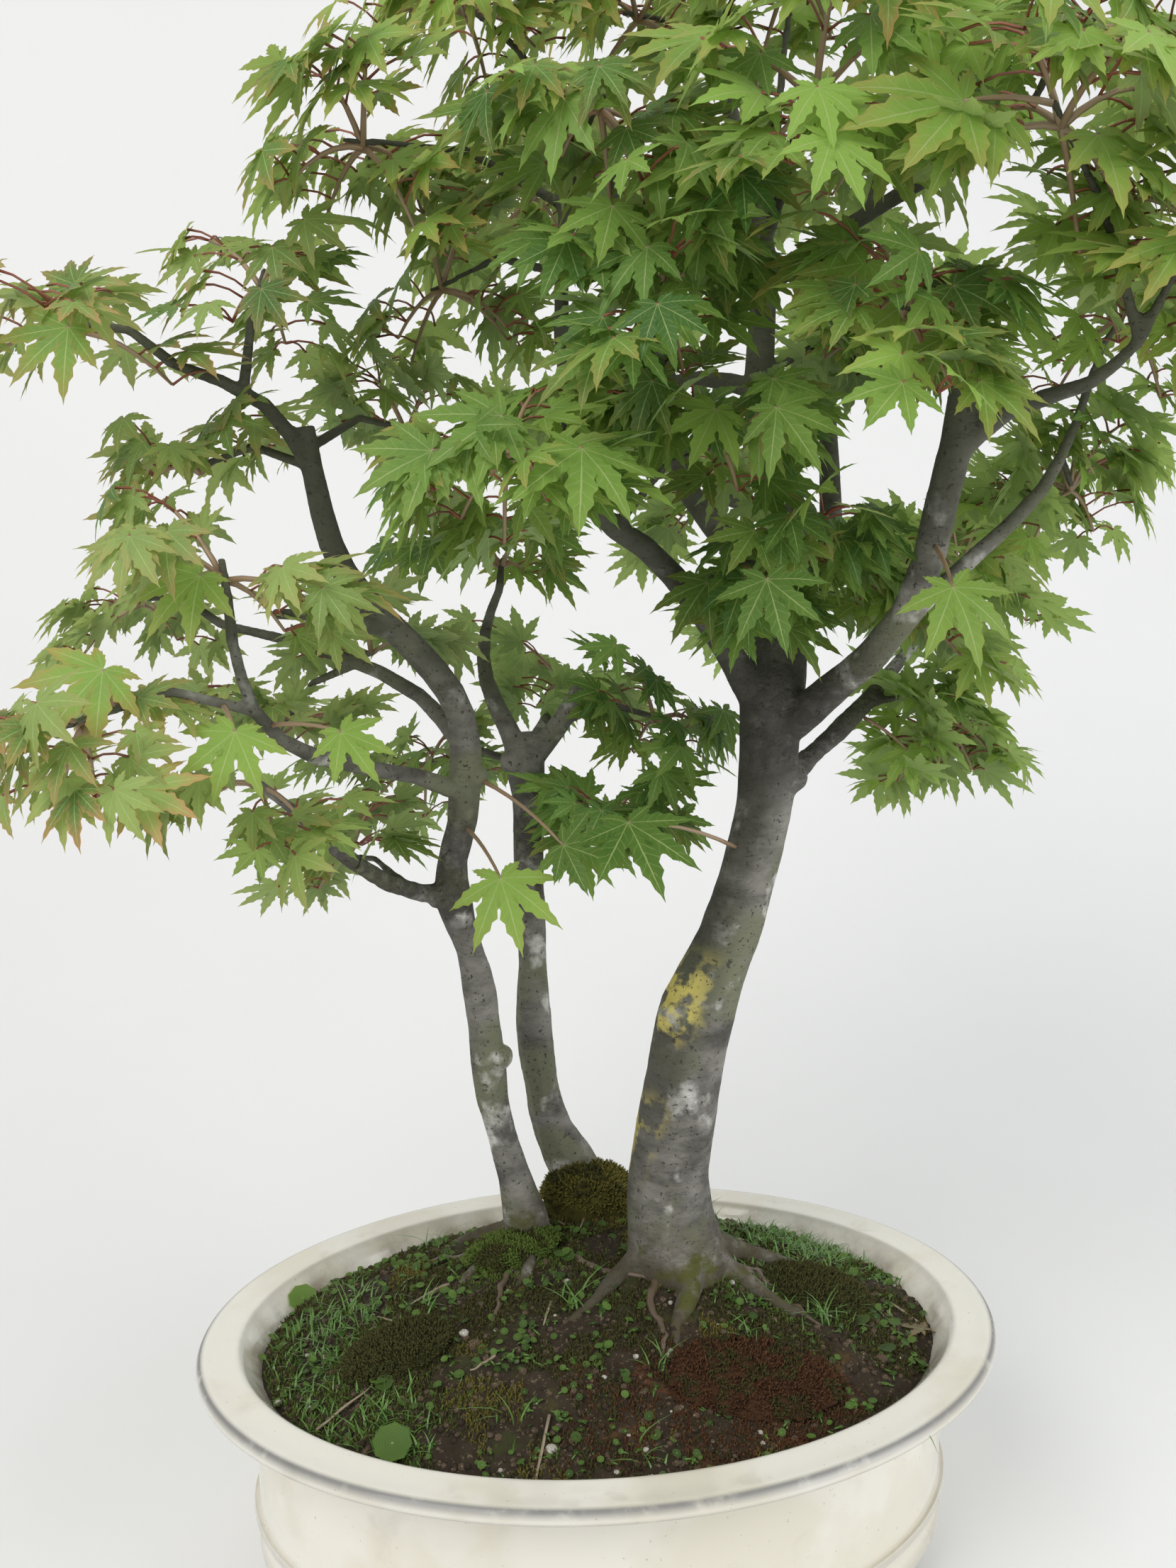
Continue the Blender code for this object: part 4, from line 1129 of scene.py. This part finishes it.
def make_cushion(node, finish, longest):
    """The frame's cushion with a lumpy skin, and a fringe of shoots that hides its edge."""
    core = copy_of(node, node + "_core")
    smooth_skin(core, 0.0016, 4)
    rng = random.Random(node)
    gathered = Gathered()
    mesh = core.data
    skin = []
    for vert in mesh.vertices:
        lump = noise.noise(vert.co * 150) * 0.0022 + noise.noise(vert.co * 420) * 0.0009
        skin.append(vert.co + Vector((lump, lump * 0.7, -abs(lump))))
    gathered.put(skin, [tuple(face.vertices) for face in mesh.polygons])
    upper = [(face.center.copy(), face.normal.copy()) for face in mesh.polygons if face.normal.z > 0.0]
    for _ in range(SHOOTS):
        centre, normal = rng.choice(upper)
        shoot(gathered, rng, centre, normal, rng.uniform(0.4, 1.0) * longest, mixed_in(centre))
    low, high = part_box(node)
    middle, half = (low + high) / 2, (high - low) / 2
    for _ in range(SHOOTS):
        turn, share = rng.uniform(0, math.tau), 0.8 + abs(rng.gauss(0, 0.4))
        x, y = middle.x + half.x * share * math.cos(turn), middle.y + half.y * share * math.sin(turn)
        place = Vector((x, y, mound_height(x, y) + crumbs(x, y) - 0.0005))
        shoot(gathered, rng, place, UP, rng.uniform(0.3, 0.8) * longest, mixed_in(place))
    bpy.data.objects.remove(core, do_unlink=True)
    cushion = gathered.object(node + "_cushion", [finish, olive_moss])
    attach(cushion, "root")
    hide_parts(node)


for node, finish, longest in (
    ("moss_middle_trunk", gold_moss, 0.0050), ("moss_left_trunk", green_moss, 0.0042),
    ("moss_front", brown_moss, 0.0034), ("moss_right", olive_moss, 0.0036),
    ("moss_left_edge", olive_moss, 0.0036),
):
    make_cushion(node, finish, longest)
print("shoots on and round each cushion:", 2 * SHOOTS)

# %% Creeping moss
CREEPERS = 46000


def creeping_moss():
    rng = random.Random(33)
    gathered = Gathered()
    for _ in range(CREEPERS):
        x, y, z = on_mound(rng)
        if noise.noise(Vector((x * 40, y * 40, 1.9))) < -0.12:
            continue
        if rng.random() < 0.85 * zone_share("brown", x, y):
            finish = 0
        elif rng.random() < 0.55 * zone_share("green", x, y):
            finish = 1
        else:
            finish = 2 if noise.noise(Vector((x * 30, y * 30, 8.3))) > -0.35 else 3
        size = rng.uniform(0.0016, 0.0040)
        shoot(gathered, rng, Vector((x, y, z - 0.0004)), UP, size, finish)
    moss = gathered.object("creeping_moss", [brown_moss, green_moss, olive_moss, gold_moss])
    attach(moss, "root")
    print("creeping moss faces:", len(gathered.faces))


creeping_moss()

# %% [markdown]
# ## Weeds and litter
#
# A pot that has stood outdoors holds small guests: grass, round-leaved weeds, dry twigs, pebbles and a few
# dead leaves. The larger ones are put where they are wanted, and the small ones are strewn by seeded
# chance, which would be too many to place by hand.

# %% Small finishes
grass_green = stalk_material("grass_green", (0.070, 0.170, 0.030), (0.150, 0.270, 0.060))
weed_leaf = leaf_material("weed_leaf", (0.030, 0.065, 0.014), (0.130, 0.240, 0.045), (0.20, 0.22, 0.07))
dead_leaf = leaf_material("dead_leaf", (0.22, 0.17, 0.10), (0.46, 0.40, 0.26), (0.34, 0.16, 0.07))
dry_twig = stalk_material("dry_twig", (0.34, 0.29, 0.20), (0.20, 0.14, 0.09))
print("small finishes:", grass_green.name, weed_leaf.name, dead_leaf.name, dry_twig.name)


# %% Grass
BLADE_STEPS = 4
SHORT_BLADES = 12000  # tried; those outside the green zones are left out


def blade_of_grass(gathered, rng, root, height, lean):
    """A flat blade that narrows and bends over."""
    turn = rng.uniform(0, math.tau)
    way = Vector((math.cos(turn), math.sin(turn), 0))
    across = Vector((-way.y, way.x, 0)) * rng.uniform(0.0004, 0.0008)
    points, faces = [], []
    for step in range(BLADE_STEPS + 1):
        part = step / BLADE_STEPS
        rise = height * part * (1 - 0.3 * lean * part)
        spine = root + way * (lean * height * part**2) + Vector((0, 0, rise))
        wide = 1 - part**2 * 0.95
        points += [spine - across * wide, spine + across * wide]
    for a in range(0, 2 * BLADE_STEPS, 2):
        faces.append((a, a + 1, a + 3, a + 2))
    gathered.put(points, faces)


def grass_mats():
    """Dense low grass in the green zones, and loose tufts of longer blades."""
    rng = random.Random(44)
    gathered = Gathered()
    for _ in range(SHORT_BLADES):
        x, y, z = on_mound(rng)
        if rng.random() > zone_share("green", x, y) ** 2:
            continue
        root = Vector((x, y, z - 0.001))
        blade_of_grass(gathered, rng, root, rng.uniform(0.004, 0.011), rng.uniform(0.3, 1.4))
    tufts = [(-0.150, 0.002, 18), (-0.105, -0.020, 12), (-0.128, -0.090, 14), (0.150, -0.118, 12),
             (0.120, -0.050, 14), (0.020, -0.090, 9), (0.010, -0.135, 8), (0.075, -0.070, 8),
             (-0.060, -0.110, 8), (-0.020, -0.045, 9), (0.090, 0.090, 12), (-0.100, 0.090, 12)]
    for x, y, blades in tufts:
        for _ in range(blades):
            px, py = x + rng.gauss(0, 0.004), y + rng.gauss(0, 0.004)
            root = Vector((px, py, mound_height(px, py) - 0.001))
            blade_of_grass(gathered, rng, root, rng.uniform(0.008, 0.022), rng.uniform(0.5, 1.5))
    grass = gathered.object("grass_mats", [grass_green])
    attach(grass, "root")
    print("grass faces:", len(gathered.faces))


grass_mats()


# %% Weeds
SMALL_WEEDS = 620


def round_leaf(gathered, place, radius, tilt_way, tone):
    """A round cupped leaf on a stalk."""
    normal = (UP + tilt_way).normalized()
    across = normal.cross(Vector((0.1, 0.9, 0.1))).normalized()
    other = normal.cross(across)
    points, numbers = [place], [(1.0, 0.0, tone, 0.0)]
    turns, rings = (16, 3) if radius > 0.003 else (8, 2)
    for ring in range(1, rings + 1):
        share = ring / rings
        for k in range(turns):
            turn = math.tau * k / turns
            edge = radius * share * (1 + 0.05 * math.cos(8 * turn) * share)
            offset = across * math.cos(turn) * edge + other * math.sin(turn) * edge
            points.append(place + offset + normal * (0.12 * radius * share**2))
            numbers.append((1 - share, share, tone, 0.0))
    faces = fan(turns)
    for ring in range(rings - 1):
        faces += band(ring, turns)
    gathered.put(points, faces, 0, numbers)


def weeds():
    rng = random.Random(55)
    gathered = Gathered()
    plants = [(-0.119, -0.112, 0.0095, 1), (-0.184, 0.050, 0.0080, 1), (-0.128, -0.078, 0.0045, 2),
              (0.165, -0.045, 0.0040, 4), (-0.020, -0.010, 0.0038, 6), (0.150, 0.000, 0.0035, 5)]
    for _ in range(SMALL_WEEDS):
        x, y, _ = on_mound(rng)
        plants.append((x, y, rng.uniform(0.0012, 0.0026), rng.randrange(1, 4)))
    for x, y, radius, count in plants:
        for _ in range(count):
            spread = 0.0 if count == 1 else radius * 2.2
            px, py = x + rng.gauss(0, spread), y + rng.gauss(0, spread)
            root = Vector((px, py, mound_height(px, py)))
            sway = (rng.gauss(0, 0.002), rng.gauss(0, 0.002), radius * rng.uniform(0.5, 1.3))
            top = root + Vector(sway)
            gathered.tube(arc(root, top, 0.0, 2), [0.0005] * 3, 4, 1)
            tilt = Vector((rng.gauss(0, 0.3), rng.gauss(-0.2, 0.3), 0))
            round_leaf(gathered, top, radius * rng.uniform(0.8, 1.15), tilt, rng.random())
    leaves = gathered.object("small_weeds", [weed_leaf, grass_green])
    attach(leaves, "root")
    print("weeds:", len(plants))


weeds()


# %% Litter
DRY_TWIGS = 16


def litter():
    rng = random.Random(66)
    gathered = Gathered()
    for x, y, turn in ((0.186, -0.038, 2.4), (-0.010, 0.125, 1.0)):
        foot = Vector((x, y, mound_height(x, y) + 0.004))
        way = Vector((math.cos(turn), math.sin(turn), 0.05))
        normal = Vector((0.2, 0.1, 1)).normalized()
        put_leaf(gathered, rng, foot, way, 0.022, rng.random(), 0.6, normal)
    for _ in range(DRY_TWIGS):
        x, y, _ = on_mound(rng)
        turn = rng.uniform(0, math.tau)
        length = rng.uniform(0.012, 0.040)
        way = Vector((math.cos(turn), math.sin(turn), 0)) * length / 2
        start, end = Vector((x, y, 0)) - way, Vector((x, y, 0)) + way
        route = [start.lerp(end, step / 5) for step in range(6)]
        for point in route:
            point.z = mound_height(point.x, point.y) + 0.0018 + rng.gauss(0, 0.0004)
        gathered.tube(route, [0.0009, 0.0008, 0.0009, 0.0007, 0.0006, 0.0004], 5, 1)
    fallen = gathered.object("fallen_litter", [dead_leaf, dry_twig])
    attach(fallen, "root")
    print("dry twigs:", DRY_TWIGS)


litter()


# %% Thin roots and pebbles
THIN_ROOTS = [  # points (x, y) along the mound
    [(0.062, -0.010), (0.090, -0.015), (0.106, -0.036), (0.112, -0.052), (0.130, -0.060)],
    [(-0.021, 0.004), (-0.004, -0.011), (0.017, -0.028), (0.040, -0.034), (0.060, -0.049)],
    [(-0.044, 0.020), (-0.052, 0.002), (-0.060, -0.017), (-0.063, -0.040), (-0.072, -0.060)],
    [(0.030, -0.030), (0.022, -0.052), (0.028, -0.074), (0.018, -0.092)],
    [(0.080, -0.020), (0.098, -0.010), (0.124, -0.014), (0.148, -0.004)],
    [(-0.050, 0.030), (-0.076, 0.026), (-0.094, 0.040), (-0.118, 0.038)],
]
PEBBLES = [  # x, y, size
    (-0.076, -0.060, 0.0042), (-0.082, -0.050, 0.0030), (-0.120, -0.040, 0.0040),
    (-0.130, -0.030, 0.0050), (0.028, -0.082, 0.0032), (0.150, -0.070, 0.0040),
    (-0.040, -0.125, 0.0034), (0.100, 0.100, 0.0046), (-0.090, 0.100, 0.0040),
]
LARGE_PEBBLE = 0.0036
ROOT_RADIUS = 0.0026
KNOT_STEPS = 6
dark_root = stalk_material("dark_root", (0.075, 0.050, 0.032), (0.150, 0.110, 0.075))


def thin_roots_and_pebbles():
    rng = random.Random(77)
    gathered = Gathered()
    for knots in THIN_ROOTS:
        route = []
        for (x0, y0), (x1, y1) in zip(knots, knots[1:]):
            for step in range(KNOT_STEPS):
                x, y = x0 + (x1 - x0) * step / KNOT_STEPS, y0 + (y1 - y0) * step / KNOT_STEPS
                route.append(Vector((x + rng.gauss(0, 0.0008), y + rng.gauss(0, 0.0008), 0)))
        for i, point in enumerate(route):
            dip = 0.004 * max(0.0, i / len(route) - 0.75)
            point.z = mound_height(point.x, point.y) + crumbs(point.x, point.y) + 0.0008 - 4 * dip
        count = len(route)
        radii = [ROOT_RADIUS * (1 - 0.65 * i / count) * rng.uniform(0.85, 1.15) for i in range(count)]
        gathered.tube(route, radii, 8, 0)
    rocks, rock_faces = ball(2)
    for x, y, size in PEBBLES:
        shift = Vector((rng.uniform(0, 9), rng.uniform(0, 9), 0))
        points = []
        for rock in rocks:
            rough = size * (1 + 0.4 * noise.noise(rock * 1.1 + shift))
            points.append((x + rock.x * rough, y + rock.y * rough, mound_height(x, y) + rock.z * rough * 0.7))
        gathered.put(points, rock_faces, 1 if size > LARGE_PEBBLE else 2)
    made = gathered.object("thin_roots_and_pebbles", [dark_root, clay_grain, pale_grit])
    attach(made, "root")
    print("thin roots and pebbles:", len(THIN_ROOTS), len(PEBBLES))


thin_roots_and_pebbles()

# %% [markdown]
# ## Hidden hardware
#
# The mesh screens and their clips are right as the frame has them. They only need real finishes: moulded
# plastic with a faint haze, and drawn wire with fine lengthwise scratches.

# %% Screens and clips
def screen_material():
    material, shader, at = new_material("moulded_mesh")
    haze = fine_noise(at, 150)
    colour = blend(haze, (0.018, 0.018, 0.018), (0.050, 0.048, 0.045))
    wire_up(shader, colour, threshold(haze, -0.8, 1.6), haze, 0.3, 0.0004)
    return material


def wire_material():
    material, shader, at = new_material("drawn_wire")
    grain = fine_noise(stretched(at, (0.1, 1.0, 1.0)), 900)
    colour = blend(grain, (0.60, 0.60, 0.62), (0.80, 0.80, 0.82))
    wire_up(shader, colour, threshold(grain, -0.8, 2.4), grain, 0.2, 0.0002)
    shader.inputs["Metallic"].default_value = 1.0
    return material


moulded_mesh = screen_material()
drawn_wire = wire_material()
for side in ("left", "right"):
    bpy.data.objects[f"drain_screen_{side}"].material_slots[0].material = moulded_mesh
    bpy.data.objects[f"drain_clip_{side}"].material_slots[0].material = drawn_wire
print("hardware:", moulded_mesh.name, drawn_wire.name)

# %% [markdown]
# ## Floor and light
#
# A pale sheet runs under the pot and curves up behind the tree, as in a product studio, so that there is
# no horizon behind the leaves. One wide soft light comes from the front left, a weaker one fills the
# right side, and the world lights the rest evenly.

# %% Floor
def stage_material():
    material, shader, at = new_material("pale_sheet")
    wire_up(shader, blend(fine_noise(at, 4.0), (0.82, 0.82, 0.81), (0.85, 0.85, 0.84)), 0.9)
    return material


def make_stage():
    reach, rise, bend, half_sheet = 1.3, 3.2, 0.9, 3.5
    profile = [(-3.0, 0.0), (0.4, 0.0)]
    for a in np.linspace(0, math.pi / 2, 24):
        profile.append((reach - bend + bend * math.sin(a), bend - bend * math.cos(a)))
    profile.append((reach, rise))
    points = [(side * half_sheet, y, z) for y, z in profile for side in (-1, 1)]
    faces = [(2 * i, 2 * i + 1, 2 * i + 3, 2 * i + 2) for i in range(len(profile) - 1)]
    sheet = mesh_object("studio_sheet", points, faces, [stage_material()])


make_stage()
print("sheet laid")


# %% Light
def area_light(name, place, target, size, power, colour):
    data = bpy.data.lights.new(name, "AREA")
    data.size = size
    data.energy = power
    data.color = colour
    light = placed(name, data)
    light.location = place
    light.rotation_euler = (Vector(target) - Vector(place)).to_track_quat("-Z", "Y").to_euler()


def make_world():
    world = bpy.data.worlds.new("studio")
    world.use_nodes = True
    tree = world.node_tree
    background = tree.nodes["Background"]
    background.inputs["Color"].default_value = (0.97, 0.98, 1.0, 1.0)
    rays = tree.nodes.new("ShaderNodeLightPath").outputs
    camera, glossy, clear = (Value(rays[f"Is {kind} Ray"]) for kind in ("Camera", "Glossy", "Transmission"))
    seen = calc("MAXIMUM", calc("MAXIMUM", camera, glossy), clear)
    strength = add(tree, "ShaderNodeMapRange", {"Value": seen, "To Min": 0.62, "To Max": 1.0})
    tree.links.new(strength.socket, background.inputs["Strength"])
    bpy.context.scene.world = world


area_light("key", (-1.3, -1.5, 2.0), (0.0, 0.0, 0.5), 1.3, 33.0, (1.0, 0.985, 0.96))
area_light("fill", (1.7, -1.2, 1.1), (0.0, 0.0, 0.5), 1.4, 20.0, (0.96, 0.98, 1.0))
make_world()
bpy.context.scene.view_settings.view_transform = "Standard"
print("lights:", len(bpy.data.lights))

# %% [markdown]
# ## Sizes
#
# The looks may not outgrow the model.

# %% Sizes
def plain(box):
    return [[float(value) for value in corner] for corner in box]


print("model box:", plain(cad_bounds))
